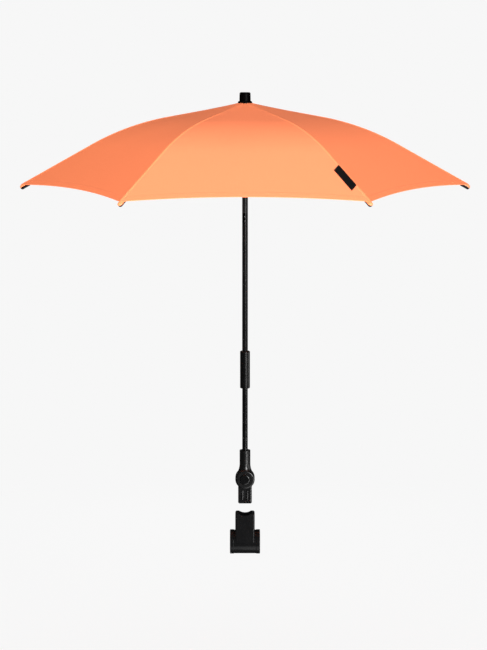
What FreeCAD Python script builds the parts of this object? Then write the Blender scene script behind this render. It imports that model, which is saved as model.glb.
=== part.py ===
import FreeCAD, Part
import math
import os
import re

import Sketcher

# Pram parasol: a six-rib sunshade on a hinged pole that plugs into a clip on a pram's frame tube.
# Millimetres and degrees. The origin is on the axis of the pram tube, midway along the clip.
# X runs along that tube, Z points up the pole, and the front of the parasol faces -Y.

Vector = FreeCAD.Vector
Rotation = FreeCAD.Rotation
Placement = FreeCAD.Placement

doc = FreeCAD.newDocument("pram_parasol")

# Driving sizes
SIZES = {
    # clip
    "tube_diameter": 25.0,
    "liner_wall": 2.0,
    "jaw_wall": 5.0,
    "clip_width": 48.4,
    "mouth_half_angle": 48.0,
    "end_band": 6.7,
    "band_step": 0.5,
    "jaw_round": 1.2,
    "neck_side_wall": 4.4,
    "neck_face_wall": 4.8,
    "neck_round": 2.5,
    "horn_height": 2.0,
    "socket_wall": 6.0,
    "saddle_gap": 1.0,
    # plug
    "plug_width": 22.0,
    "plug_depth": 15.0,
    "plug_reach": 40.5,
    "plug_shoulder": 13.2,
    "plug_clearance": 0.2,
    "plug_round": 2.0,
    "plug_end_bevel": 1.7,
    "plug_lift": 43.5,
    "seat_gap": 0.5,
    "recess_width": 14.0,
    "recess_depth": 1.6,
    "recess_top": 19.0,
    "recess_bottom": 34.5,
    "ridge_spacing": 7.8,
    "ridge_radius": 1.4,
    "tongue_radius": 13.0,
    "tongue_thickness": 7.0,
    "tongue_neck": 12.0,
    "stalk_root": 3.0,
    # knuckle
    "disc_diameter": 31.0,
    "disc_depth": 23.0,
    "disc_round": 3.0,
    "disc_rear_round": 6.0,
    "knuckle_neck": 17.2,
    "knuckle_height": 46.0,
    "flare_start": 8.0,
    "flare_end": 24.0,
    "plug_gap": 0.4,
    "turn_gap": 0.3,
    "bush_diameter": 8.0,
    "bush_gap": 0.1,
    "stem_diameter": 5.0,
    "stem_gap": 0.15,
    "stem_proud": 1.0,
    "button_diameter": 16.4,
    "button_gap": 0.3,
    "button_height": 3.8,
    "button_proud": 1.2,
    "button_round": 2.0,
    "button_travel": 2.5,
    "clutch_diameter": 20.0,
    "clutch_thickness": 2.0,
    "spring_diameter": 17.0,
    "spring_thickness": 0.8,
    "spring_height": 3.6,
    "spring_bore_gap": 0.6,
    "spring_gap": 0.1,
    "rear_wall": 1.8,
    "screw_diameter": 2.5,
    "screw_head": 4.4,
    "screw_head_height": 2.0,
    "drive_slot_width": 0.7,
    "drive_slot_length": 3.2,
    "drive_slot_depth": 1.0,
    "screw_length": 9.7,
    "screw_head_seat": 4.5,
    "low_screw_height": 16.6,
    "high_screw_height": 39.0,
    # pole
    "pole_diameter": 8.8,
    "pole_wall": 1.0,
    "pole_socket": 26.0,
    "hinge_height": 157.0,
    "hinge_blade": 3.0,
    "hinge_eye": 3.6,
    "hinge_side_gap": 0.15,
    "hinge_end_gap": 0.5,
    "hinge_pin_diameter": 2.5,
    "hinge_pin_gap": 0.1,
    "hinge_spigot": 14.0,
    "fork_height": 10.0,
    "cheek_radius": 4.4,
    "sleeve_diameter": 15.7,
    "sleeve_bore": 10.8,
    "sleeve_length": 59.6,
    "sleeve_overlap": 9.7,
    "sleeve_bevel": 0.8,
    "shaft_diameter": 9.0,
    "shaft_wall": 0.9,
    # canopy form
    "canopy_height": 440.5,
    "canopy_radius": 350.0,
    "crown_slope": 10.3,
    "hem_slope": 29.2,
    "inner_straight": 120.0,
    "bend_radius": 385.0,
    "fabric_thickness": 0.8,
    "panel_gap": 0.3,
    "scallop": 9.0,
    "canopy_eye": 12.5,
    "label_hem_gap": 36.0,
    "label_length": 46.0,
    "label_width": 11.5,
    "label_thickness": 0.5,
    "label_seam_gap": 0.6,
    "label_slant": 5.6,
    "label_lift": 0.1,
    # crown and cap
    "crown_hinge_radius": 11.0,
    "crown_hinge_drop": 7.2,
    "crown_radius": 13.5,
    "crown_above": 3.2,
    "crown_below": 3.8,
    "crown_skirt_radius": 6.5,
    "crown_skirt": 11.5,
    "crown_socket": 10.0,
    "crown_slot_start": 7.4,
    "stud_diameter": 5.0,
    "stud_height": 12.0,
    "pin_diameter": 1.6,
    "pin_length": 9.0,
    "pin_gap": 0.15,
    "washer_gap": 0.5,
    "washer_thickness": 1.9,
    "cap_flange_radius": 11.1,
    "cap_flange": 5.0,
    "cap_base_radius": 8.8,
    "cap_top_radius": 8.5,
    "cap_height": 18.5,
    "cap_round": 2.2,
    "cap_flange_round": 2.0,
    # ribs
    "rib_diameter": 3.2,
    "rib_offset": 3.5,
    "rib_eye": 2.4,
    "rib_eye_thickness": 3.0,
    "slot_gap": 0.3,
    "rib_end_gap": 6.0,
    "tip_diameter": 6.8,
    "tip_sink": 1.15,
    "tip_length": 15.0,
    "tip_cover": 7.0,
    "tip_round": 2.4,
    "rivet_radius": 130.0,
    "lug_length": 5.6,
    "lug_thickness": 2.0,
    "lug_eye": 2.4,
    "rivet_diameter": 1.6,
    "rivet_head": 0.5,
    # stretchers
    "stretcher_diameter": 2.8,
    "fork_gap": 0.25,
    "fork_cheek": 1.2,
    "fork_reach": 4.4,
    "fork_bridge": 2.6,
    "cross_pin_diameter": 2.4,
    "cross_pin_length": 7.0,
    # runner and its catch
    "runner_drop": 105.0,
    "runner_gap": 0.25,
    "runner_wall": 1.35,
    "runner_tail": 28.3,
    "runner_grip_radius": 7.0,
    "runner_grip": 4.0,
    "runner_flange_radius": 14.0,
    "runner_flange": 3.4,
    "runner_collar_radius": 6.5,
    "runner_collar": 5.0,
    "runner_slot_start": 8.6,
    "seat_clearance": 0.3,
    "catch_leaf": 0.8,
    "catch_width": 2.4,
    "catch_leaf_back": 2.0,
    "catch_reach": 6.2,
    "catch_nose": 13.0,
    "catch_nose_tip": 2.0,
    "catch_drop": 0.5,
    "catch_length": 44.0,
    "catch_side_gap": 0.3,
    "catch_slot_margin": 3.0,
    "block_length": 22.0,
    "block_below_leaf": 5.0,
    "block_slot_depth": 1.5,
    "catch_rivet_diameter": 2.0,
    "catch_rivet_length": 2.7,
    "catch_rivet_low": 43.0,
    "catch_rivet_high": 36.0,
}

RIB_COUNT = 6
SECTOR = 360 / RIB_COUNT
LABEL_RIB = 6

# Sizes and places that follow from the driving sizes
DERIVED = {
    "bore_radius": "tube_diameter / 2",
    "liner_radius": "bore_radius + liner_wall",
    "jaw_radius": "liner_radius + jaw_wall",
    "socket_floor": "liner_radius + socket_wall",
    "socket_width": "plug_width + 2 * plug_clearance",
    "socket_depth": "plug_depth + 2 * plug_clearance",
    "neck_width": "socket_width + 2 * neck_side_wall",
    "neck_depth": "socket_depth + 2 * neck_face_wall",
    "seated_axis": "socket_floor + seat_gap + plug_reach",
    "disc_radius": "disc_diameter / 2",
    "neck_top": "seated_axis - disc_radius + horn_height",
    "knuckle_z": "seated_axis + plug_lift",
    # tangent from the neck's front edge to the jaw
    "neck_corner_angle": "atan2(neck_top; -neck_depth / 2)",
    "neck_corner_distance": "sqrt(neck_top ^ 2 + neck_depth ^ 2 / 4)",
    "neck_tangent_angle": "neck_corner_angle + acos(jaw_radius / neck_corner_distance)",
    # knuckle
    "slot_half": "tongue_thickness / 2 + turn_gap",
    "tongue_slot_radius": "tongue_radius + plug_gap",
    "button_floor": "-disc_depth / 2 - button_proud + button_height + button_travel + button_gap",
    "clutch_front": "slot_half",
    "clutch_back": "clutch_front + clutch_thickness",
    "stem_end": "clutch_back + stem_proud",
    "cavity_back": "disc_depth / 2 - rear_wall",
    # pole
    "pole_bottom": "knuckle_z + knuckle_height - pole_socket",
    "hinge_z": "knuckle_z + hinge_height",
    "pole_top": "hinge_z - cheek_radius - hinge_end_gap",
    "shaft_bottom": "hinge_z + fork_height",
    "shaft_bore": "shaft_diameter / 2 - shaft_wall",
    "sleeve_bottom": "hinge_z - sleeve_overlap",
    "sleeve_top": "sleeve_bottom + sleeve_length",
    "apex_z": "hinge_z + canopy_height",
    # canopy profile along a rib: straight, arc, straight
    "bend_start_drop": "inner_straight * tan(crown_slope)",
    "bend_end": "inner_straight + bend_radius * (sin(hem_slope) - sin(crown_slope))",
    "bend_end_drop": "bend_start_drop + bend_radius * (cos(crown_slope) - cos(hem_slope))",
    "tip_drop": "bend_end_drop + (canopy_radius - bend_end) * tan(hem_slope)",
    "label_end": "canopy_radius - label_hem_gap",
    "label_start": "label_end - label_length",
    # crown
    "crown_hinge_z": "apex_z - crown_hinge_drop",
    "crown_top": "crown_hinge_z + crown_above",
    "crown_bottom": "crown_hinge_z - crown_below",
    "shaft_top": "crown_bottom - crown_skirt + crown_socket",
    "washer_top": "crown_top + washer_thickness",
    "washer_radius": f"canopy_eye * cos({SECTOR / 4}) - washer_gap",
    "cap_top": "washer_top + cap_height",
    # rib axis: a straight run from the crown, an arc, and a straight run under the hem
    "rib_radius": "rib_diameter / 2",
    "rib_bend_drop": "bend_start_drop + rib_offset / cos(crown_slope)",
    "rib_rise": "(rib_bend_drop - crown_hinge_drop) / (inner_straight - crown_hinge_radius)",
    "rib_slope": "atan(rib_rise)",
    "rib_tip_drop": "tip_drop + rib_offset / cos(hem_slope)",
    "rib_corner": "(rib_tip_drop - canopy_radius * tan(hem_slope) - crown_hinge_drop"
                  " + rib_rise * crown_hinge_radius) / (rib_rise - tan(hem_slope))",
    "rib_corner_drop": "crown_hinge_drop + rib_rise * (rib_corner - crown_hinge_radius)",
    "rib_bend_radius": "bend_radius - rib_offset",
    "rib_tangent": "rib_bend_radius * tan((hem_slope * 1 deg - rib_slope) / 2)",
    "rib_end": "canopy_radius - rib_end_gap",
    "rib_end_drop": "rib_tip_drop - rib_end_gap * tan(hem_slope)",
    # rivet on the rib, and the stretcher from it to the runner
    "rivet_z": "crown_hinge_z - rib_rise * (rivet_radius - crown_hinge_radius) - lug_length",
    "runner_pivot_z": "crown_hinge_z - runner_drop",
    "stretcher_run": "rivet_radius - crown_hinge_radius",
    "stretcher_rise": "rivet_z - runner_pivot_z",
    "stretcher_length": "sqrt(stretcher_run ^ 2 + stretcher_rise ^ 2)",
    "stretcher_angle": "atan2(stretcher_rise; stretcher_run)",
    "fork_inner": "lug_thickness / 2 + fork_gap",
    "fork_outer": "fork_inner + fork_cheek",
    # runner
    "runner_bore": "shaft_diameter / 2 + runner_gap",
    "runner_radius": "runner_bore + runner_wall",
    "runner_bottom": "runner_pivot_z - runner_tail",
    "flange_bottom": "runner_pivot_z + cross_pin_diameter / 2 + seat_clearance",
    "flange_top": "flange_bottom + runner_flange",
    # catch
    "catch_top": "runner_bottom - catch_drop",
    "catch_bottom": "catch_top - catch_length",
    "block_bottom": "catch_bottom - block_below_leaf",
}

sheet = doc.addObject("Spreadsheet::Sheet", "sizes")
for row, (alias, size) in enumerate(SIZES.items(), start=1):
    sheet.set(f"A{row}", alias)
    sheet.set(f"B{row}", str(size))
    sheet.setAlias(f"B{row}", alias)
doc.recompute()


def formula(text):
    """Write a formula of named sizes in the sheet's own terms."""
    def swap(match):
        word = match.group(0)
        if word in SIZES:
            return "sizes." + word
        if word in DERIVED:
            return "(" + formula(DERIVED[word]) + ")"
        return word
    return re.sub(r"[a-z][a-z_0-9]*", swap, text)


def number(text):
    """Work a formula out now, for what can't be bound."""
    result = sheet.evalExpression(formula(text))
    return float(getattr(result, "Value", result))


# Helpers for primitives, sketches and booleans
AXIS_TURNS = {
    "X": Rotation(Vector(0, 1, 0), 90),
    "Y": Rotation(Vector(1, 0, 0), -90),
    "Z": Rotation(),
}


def bind(obj, **formulas):
    for name, text in formulas.items():
        obj.setExpression(name, formula(text))
    return obj


def put(obj, x, y, z):
    for axis, text in zip("xyz", (x, y, z)):
        obj.setExpression("Placement.Base." + axis, formula(text))
    return obj


def cylinder(name, radius, height, axis="Z", x="0", y="0", z="0"):
    """A cylinder that starts at a point and runs along one axis."""
    obj = doc.addObject("Part::Cylinder", name)
    obj.Placement.Rotation = AXIS_TURNS[axis]
    bind(obj, Radius=radius, Height=height)
    return put(obj, x, y, z)


def cross_cylinder(name, radius, length, axis, x="0", z="0"):
    """A cylinder across the XZ plane, or along X, centred on that plane."""
    half = f"-({length}) / 2"
    if axis == "X":
        return cylinder(name, radius, length, "X", x=half, z=z)
    return cylinder(name, radius, length, "Y", x=x, y=half, z=z)


def block(name, x, y, z):
    """A box between two limits on each axis."""
    obj = doc.addObject("Part::Box", name)
    for side, (low, high) in zip(("Length", "Width", "Height"), (x, y, z)):
        obj.setExpression(side, formula(f"({high}) - ({low})"))
    return put(obj, x[0], y[0], z[0])


def even(width):
    """Limits that lie evenly about zero."""
    return f"-({width}) / 2", f"({width}) / 2"


def fuse(name, *shapes):
    obj = doc.addObject("Part::MultiFuse", name)
    obj.Shapes = list(shapes)
    obj.Refine = True
    return obj


def cut(name, base, *tools):
    obj = doc.addObject("Part::Cut", name)
    obj.Base = base
    obj.Tool = tools[0] if len(tools) == 1 else fuse(name + "_tools", *tools)
    return obj


def common(name, base, tool):
    obj = doc.addObject("Part::Common", name)
    obj.Base = base
    obj.Tool = tool
    return obj


def group(name, *shapes):
    obj = doc.addObject("Part::Compound", name)
    obj.Links = list(shapes)
    return obj


def dress(kind, name, base, size, chosen):
    """Fillet or chamfer the edges of a shape that a test chooses."""
    doc.recompute()
    amount = number(size)
    obj = doc.addObject(kind, name)
    obj.Base = base
    picked = [i for i, edge in enumerate(base.Shape.Edges, start=1) if chosen(edge)]
    obj.Edges = [(i, amount, amount) for i in picked]
    return obj


def rounded(name, base, size, chosen):
    return dress("Part::Fillet", name, base, size, chosen)


def bevelled(name, base, size, chosen):
    return dress("Part::Chamfer", name, base, size, chosen)


def is_circle(edge):
    return edge.Curve.TypeId == "Part::GeomCircle"


def runs_along(edge, direction):
    if edge.Curve.TypeId != "Part::GeomLine":
        return False
    return abs(edge.tangentAt(edge.FirstParameter).dot(direction)) > 0.999


def draw(sketch, corners):
    """Draw a closed or open outline. A corner is (u, v), or (u, v, radius, side) where an arc starts:
    side 1 bulges to the left of the way to the next corner and -1 to the right."""
    closed = corners[-1] != "open"
    points = corners if closed else corners[:-1]
    spots = [Vector(number(c[0]), number(c[1]), 0) for c in points]
    ends = []
    for i in range(len(points) if closed else len(points) - 1):
        start, end = spots[i], spots[(i + 1) % len(spots)]
        if len(points[i]) == 2:
            ends.append((sketch.addGeometry(Part.LineSegment(start, end), False), 1, 2))
            continue
        radius = number(points[i][2])
        chord = end - start
        sag = radius - math.sqrt(radius ** 2 - chord.Length ** 2 / 4)
        left = Vector(-chord.y, chord.x, 0).normalize()
        middle = (start + end) * 0.5 + left * sag * points[i][3]
        curve = sketch.addGeometry(Part.Arc(start, middle, end), False)
        forward = sketch.getPoint(curve, 1).distanceToPoint(start) < 1e-6
        ends.append((curve, 1, 2) if forward else (curve, 2, 1))
        bound = sketch.addConstraint(Sketcher.Constraint("Radius", curve, radius))
        sketch.setExpression(f"Constraints[{bound}]", formula(points[i][2]))
    for i, (curve, _, finish) in enumerate(ends):
        if i + 1 < len(ends) or closed:
            following, start, _ = ends[(i + 1) % len(ends)]
            sketch.addConstraint(Sketcher.Constraint("Coincident", curve, finish, following, start))
    for i, corner in enumerate(points):
        curve, spot = ends[i][:2] if i < len(ends) else (ends[-1][0], ends[-1][2])
        for kind, text in (("DistanceX", corner[0]), ("DistanceY", corner[1])):
            size = Sketcher.Constraint(kind, -1, 1, curve, spot, number(text))
            bound = sketch.addConstraint(size)
            sketch.setExpression(f"Constraints[{bound}]", formula(text))
    return sketch


def new_body(name):
    return doc.addObject("PartDesign::Body", name)


def body_sketch(body, name, role, corners):
    """A sketch on one of a body's origin planes."""
    plane = next(f for f in body.Origin.OriginFeatures if f.Role == role)
    sketch = body.newObject("Sketcher::SketchObject", name)
    sketch.AttachmentSupport = (plane, [""])
    sketch.MapMode = "FlatFace"
    return draw(sketch, corners)


def turned(name, corners):
    """A body turned about the Z axis from a half section of (radius, height) corners."""
    body = new_body(name)
    sketch = body_sketch(body, name + "_section", "XZ_Plane", corners)
    turn = body.newObject("PartDesign::Revolution", name + "_turn")
    turn.Profile = sketch
    turn.ReferenceAxis = (sketch, ["V_Axis"])
    turn.Angle = 360
    return body


def pocket_around(body, name, role, corners, depth):
    """A pocket cut evenly to both sides of an origin plane."""
    pocket = body.newObject("PartDesign::Pocket", name)
    pocket.Profile = body_sketch(body, name + "_outline", role, corners)
    pocket.SideType = "Symmetric"
    return bind(pocket, Length=depth)


def pattern_around(body, name, *features):
    """Repeat pockets in the XY plane once for each rib about the Z axis."""
    pattern = body.newObject("PartDesign::PolarPattern", name)
    pattern.Originals = list(features)
    pattern.Axis = (features[0].Profile[0], ["N_Axis"])
    pattern.Angle = 360
    pattern.Occurrences = RIB_COUNT
    body.Tip = pattern
    return body


def extruded(name, corners, length, turn=Rotation(), symmetric=True):
    """A free sketch, turned into place and extruded along its normal."""
    sketch = doc.addObject("Sketcher::SketchObject", name + "_outline")
    sketch.Placement = Placement(Vector(), turn)
    draw(sketch, corners)
    obj = doc.addObject("Part::Extrusion", name)
    obj.Base = sketch
    obj.DirMode = "Normal"
    obj.Solid = True
    obj.Symmetric = symmetric
    return bind(obj, LengthFwd=length)


UPRIGHT = Rotation(Vector(1, 0, 0), 90)
SIDEWAYS = Rotation(Vector(0.57735, 0.57735, 0.57735), 120)

PIECES = []


def piece(obj, label):
    """Register a finished sub-part under the name of its file."""
    obj.Label = label
    PIECES.append(obj)
    return obj


def around(obj, rib):
    """Turn a piece that was made on the X axis to its own rib."""
    turn = Placement(Vector(), Rotation(Vector(0, 0, 1), SECTOR * (rib - 1)))
    obj.Placement = turn * obj.Placement
    return obj


# Clip: a C-shaped jaw for the pram tube, with a socket neck above it
def jaw_mouth(name):
    """The wedge that opens the jaw at the back."""
    reach = "2 * jaw_radius"
    rise = "2 * jaw_radius * tan(mouth_half_angle)"
    corners = [("0", "0"), (reach, f"-{rise}"), (reach, rise)]
    return extruded(name, corners, "2 * clip_width", SIDEWAYS)


def make_clip():
    barrel = cross_cylinder("jaw_barrel", "jaw_radius - band_step", "clip_width - end_band", "X")
    left = cylinder("jaw_band_left", "jaw_radius", "end_band", "X", x="-clip_width / 2")
    right = cylinder("jaw_band_right", "jaw_radius", "end_band", "X", x="clip_width / 2 - end_band")
    bands = [rounded(band.Name + "_round", band, "jaw_round", is_circle) for band in (left, right)]
    front = "jaw_radius * cos(neck_tangent_angle)"
    front_z = "jaw_radius * sin(neck_tangent_angle)"
    corners = [
        ("-neck_depth / 2", "neck_top"),
        (front, front_z),
        ("0", "0"),
        ("neck_depth / 2", "0"),
        ("neck_depth / 2", "neck_top"),
    ]
    neck = extruded("neck_block", corners, "neck_width", SIDEWAYS)
    half = number("neck_width") / 2
    long_enough = number("neck_top") / 2

    def is_side_edge(edge):
        on_side = abs(abs(edge.CenterOfMass.x) - half) < 0.01
        return on_side and edge.Length > long_enough

    neck = rounded("neck_round_block", neck, "neck_round", is_side_edge)
    solid = fuse("clip_solid", barrel, *bands, neck)
    bore = cross_cylinder("liner_seat", "liner_radius", "2 * clip_width", "X")
    saddle = cross_cylinder("clip_saddle", "disc_radius + saddle_gap", "2 * neck_depth", "Y", z="seated_axis")
    socket = block("plug_socket", even("socket_width"), even("socket_depth"),
                   ("socket_floor", "2 * neck_top"))
    piece(cut("clip", solid, bore, jaw_mouth("clip_mouth"), saddle, socket), "clip_body")

    sleeve = cross_cylinder("liner_sleeve", "liner_radius", "clip_width", "X")
    tube = cross_cylinder("liner_bore", "bore_radius", "2 * clip_width", "X")
    piece(cut("liner", sleeve, tube, jaw_mouth("liner_mouth")), "clip_liner")


# Plug: a block for the socket, with a round tongue that the knuckle turns on
def below_axis(depth):
    return f"knuckle_z - ({depth})"


def make_plug():
    low, high = below_axis("plug_reach"), below_axis("plug_shoulder")
    bar = block("plug_bar", even("plug_width"), even("plug_depth"), (low, high))
    bar = rounded("plug_bar_round", bar, "plug_round", lambda edge: runs_along(edge, Vector(0, 0, 1)))
    doc.recompute()
    bottom = number(low)
    bar = bevelled("plug_bar_bevel", bar, "plug_end_bevel",
                   lambda edge: edge.BoundBox.ZMax < bottom + 0.001)
    saddle = cross_cylinder("plug_saddle", "disc_radius + plug_gap", "2 * plug_depth", "Y", z="knuckle_z")
    floor = below_axis("recess_bottom")
    height = "recess_bottom - recess_top"
    recesses = []
    ridges = []
    for side, sign in (("front", "-"), ("back", "")):
        face = f"{sign}plug_depth / 2"
        inner = f"{sign}(plug_depth / 2 - recess_depth)"
        span = (face, inner) if sign else (inner, face)
        recesses.append(block(f"plug_recess_{side}", even("recess_width"), span,
                              (floor, below_axis("recess_top"))))
        for hand in ("-", ""):
            name = f"plug_ridge_{side}_{'left' if hand else 'right'}"
            ridges.append(cylinder(name, "ridge_radius", height, "Z", x=f"{hand}ridge_spacing / 2",
                                   y=f"{sign}(plug_depth / 2 - ridge_radius)", z=floor))
    bar = cut("plug_shaped", bar, saddle, *recesses)
    disc = cross_cylinder("tongue_disc", "tongue_radius", "tongue_thickness", "Y", z="knuckle_z")
    stalk = block("tongue_stalk", even("tongue_neck"), even("tongue_thickness"),
                  (below_axis("disc_radius + stalk_root"), "knuckle_z"))
    bore = cross_cylinder("tongue_bore", "bush_diameter / 2 + bush_gap", "2 * tongue_thickness", "Y",
                          z="knuckle_z")
    piece(cut("plug", fuse("plug_solid", bar, disc, stalk, *ridges), bore), "plug_body")


# Knuckle: two shells around the plug's tongue, with the button and its clutch inside
# Each row: the share of the flare's length, and the shares of the disc's extra width and depth left there
FLARE_SHARES = ((0.0, 1.0, 1.0), (0.25, 0.53, 0.84), (0.5, 0.23, 0.36), (0.75, 0.06, 0.09), (1.0, 0.0, 0.0))


def knuckle_form():
    """The knuckle's outside: a round disc that flares into a straight neck."""
    disc = cross_cylinder("disc", "disc_radius", "disc_depth", "Y", z="knuckle_z")
    doc.recompute()
    disc = rounded("disc_front_rounded", disc, "disc_round",
                   lambda edge: is_circle(edge) and edge.CenterOfMass.y < 0)
    rear = number("disc_depth / 2")
    disc = rounded("disc_rounded", disc, "disc_rear_round",
                   lambda edge: is_circle(edge) and abs(edge.CenterOfMass.y - rear) < 0.001)
    neck_radius = "knuckle_neck / 2"
    shoulder = "sqrt(disc_radius ^ 2 - flare_start ^ 2)"
    sections = []
    for i, (along, width, depth) in enumerate(FLARE_SHARES):
        ring = doc.addObject("Part::Ellipse", f"flare_ring_{i}")
        bind(ring, MajorRadius=f"{neck_radius} + ({shoulder} - {neck_radius}) * {width}",
             MinorRadius=f"{neck_radius} + (disc_depth / 2 - {neck_radius}) * {depth}")
        put(ring, "0", "0", f"knuckle_z + flare_start + (flare_end - flare_start) * {along}")
        sections.append(ring)
    flare = doc.addObject("Part::Loft", "flare")
    flare.Sections = sections
    flare.Solid = True
    neck = cylinder("neck_post", neck_radius, "knuckle_height - flare_end", "Z", z="knuckle_z + flare_end")
    return fuse("knuckle_outside", disc, flare, neck)


def knuckle_screw(name, height, head_height):
    """One plain screw, or the hole that it sits in."""
    z = f"knuckle_z + {height}"
    start = "screw_head_seat - screw_length"
    shank = cylinder(name + "_shank", "screw_diameter / 2", "screw_length", "Y", y=start, z=z)
    head = cylinder(name + "_head", "screw_head / 2", head_height, "Y", y="screw_head_seat", z=z)
    return fuse(name, shank, head)


def slotted_screw(name, height):
    """One screw with a cross drive in its head."""
    plain = knuckle_screw(name + "_plain", height, "screw_head_height")
    top = "screw_head_seat + screw_head_height"
    span = (f"{top} - drive_slot_depth", f"{top} + drive_slot_depth")
    arms = []
    for arm, width, tall in (("level", "drive_slot_length", "drive_slot_width"),
                             ("upright", "drive_slot_width", "drive_slot_length")):
        low, high = even(tall)
        arms.append(block(f"{name}_{arm}_slot", even(width), span,
                          (f"knuckle_z + {height} + {low}", f"knuckle_z + {height} + {high}")))
    return cut(name, plain, *arms)


def make_knuckle():
    outside = knuckle_form()
    tongue_slot = cross_cylinder("tongue_slot", "tongue_slot_radius", "2 * slot_half", "Y", z="knuckle_z")
    swing_slot = block("swing_slot", even("2 * disc_diameter"), even("2 * slot_half"),
                       (below_axis("disc_diameter"), "knuckle_z + tongue_neck / 2 + plug_gap"))
    recess = cylinder("button_recess", "button_diameter / 2 + button_gap", "disc_depth + button_floor", "Y",
                      y="-disc_depth", z="knuckle_z")
    stem_bore = cylinder("stem_bore", "stem_diameter / 2 + stem_gap", "disc_depth / 2", "Y",
                         y="-disc_depth / 2", z="knuckle_z")
    cavity = cylinder("clutch_cavity", "clutch_diameter / 2 + button_gap", "cavity_back", "Y", z="knuckle_z")
    socket = cylinder("pole_socket_bore", "pole_diameter / 2", "2 * pole_socket", "Z", z="pole_bottom")
    holes = [knuckle_screw("low_screw_hole", "low_screw_height", "disc_depth"),
             knuckle_screw("high_screw_hole", "high_screw_height", "disc_depth")]
    hollow = fuse("knuckle_hollow", tongue_slot, swing_slot, recess, stem_bore, cavity, socket, *holes)
    reach = "disc_diameter + knuckle_height"
    span = ("knuckle_z - disc_diameter", f"knuckle_z + {reach}")
    for side, limits in (("front", ("-disc_depth", "0")), ("rear", ("0", "disc_depth"))):
        half = block(f"{side}_half", even("2 * disc_diameter"), limits, span)
        shell = common(f"{side}_outside", outside, half)
        piece(cut(f"{side}_shell", shell, hollow), f"knuckle_{side}_shell")
    screws = [slotted_screw("low_screw", "low_screw_height"),
              slotted_screw("high_screw", "high_screw_height")]
    piece(group("screw_pair", *screws), "knuckle_screws")

    rod = cross_cylinder("bush_rod", "bush_diameter / 2", "2 * slot_half", "Y", z="knuckle_z")
    bore = cross_cylinder("bush_bore", "stem_diameter / 2 + stem_gap", "4 * slot_half", "Y", z="knuckle_z")
    piece(cut("bush", rod, bore), "pivot_bush")


def make_button():
    face = "-disc_depth / 2 - button_proud"
    head = cylinder("button_head", "button_diameter / 2", "button_height", "Y", y=face, z="knuckle_z")
    front = number(face)
    head = rounded("button_head_round", head, "button_round",
                   lambda edge: is_circle(edge) and abs(edge.CenterOfMass.y - front) < 0.001)
    stem = cylinder("button_stem", "stem_diameter / 2", f"stem_end - ({face}) - button_height / 2", "Y",
                    y=f"{face} + button_height / 2", z="knuckle_z")
    piece(fuse("button", head, stem), "release_button")
    plate = cylinder("clutch_disc", "clutch_diameter / 2", "clutch_thickness", "Y", y="clutch_front",
                     z="knuckle_z")
    hole = cylinder("clutch_hole", "stem_diameter / 2", "2 * clutch_back", "Y", z="knuckle_z")
    piece(cut("clutch", plate, hole), "clutch_plate")

    outer = "spring_diameter / 2"
    inner = "stem_diameter / 2 + spring_bore_gap"
    lean = "spring_height - spring_thickness"
    section = [(inner, lean), (outer, "0"), (outer, "spring_thickness"), (inner, "spring_height")]
    cone = turned("spring_cone", section)
    cone.Placement.Rotation = AXIS_TURNS["Y"]
    put(cone, "0", "clutch_back + spring_gap", "knuckle_z")
    piece(cone, "clutch_spring")


# Pole: a lower tube, a hinge that a sleeve locks straight, and the long upper tube
def tube(name, radius, wall, bottom, top):
    outer = cylinder(name + "_outer", radius, f"({top}) - ({bottom})", z=bottom)
    length = f"({top}) - ({bottom}) + 2 * ({wall})"
    inner = cylinder(name + "_inner", f"({radius}) - ({wall})", length, z=f"({bottom}) - ({wall})")
    return outer, inner


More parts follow.
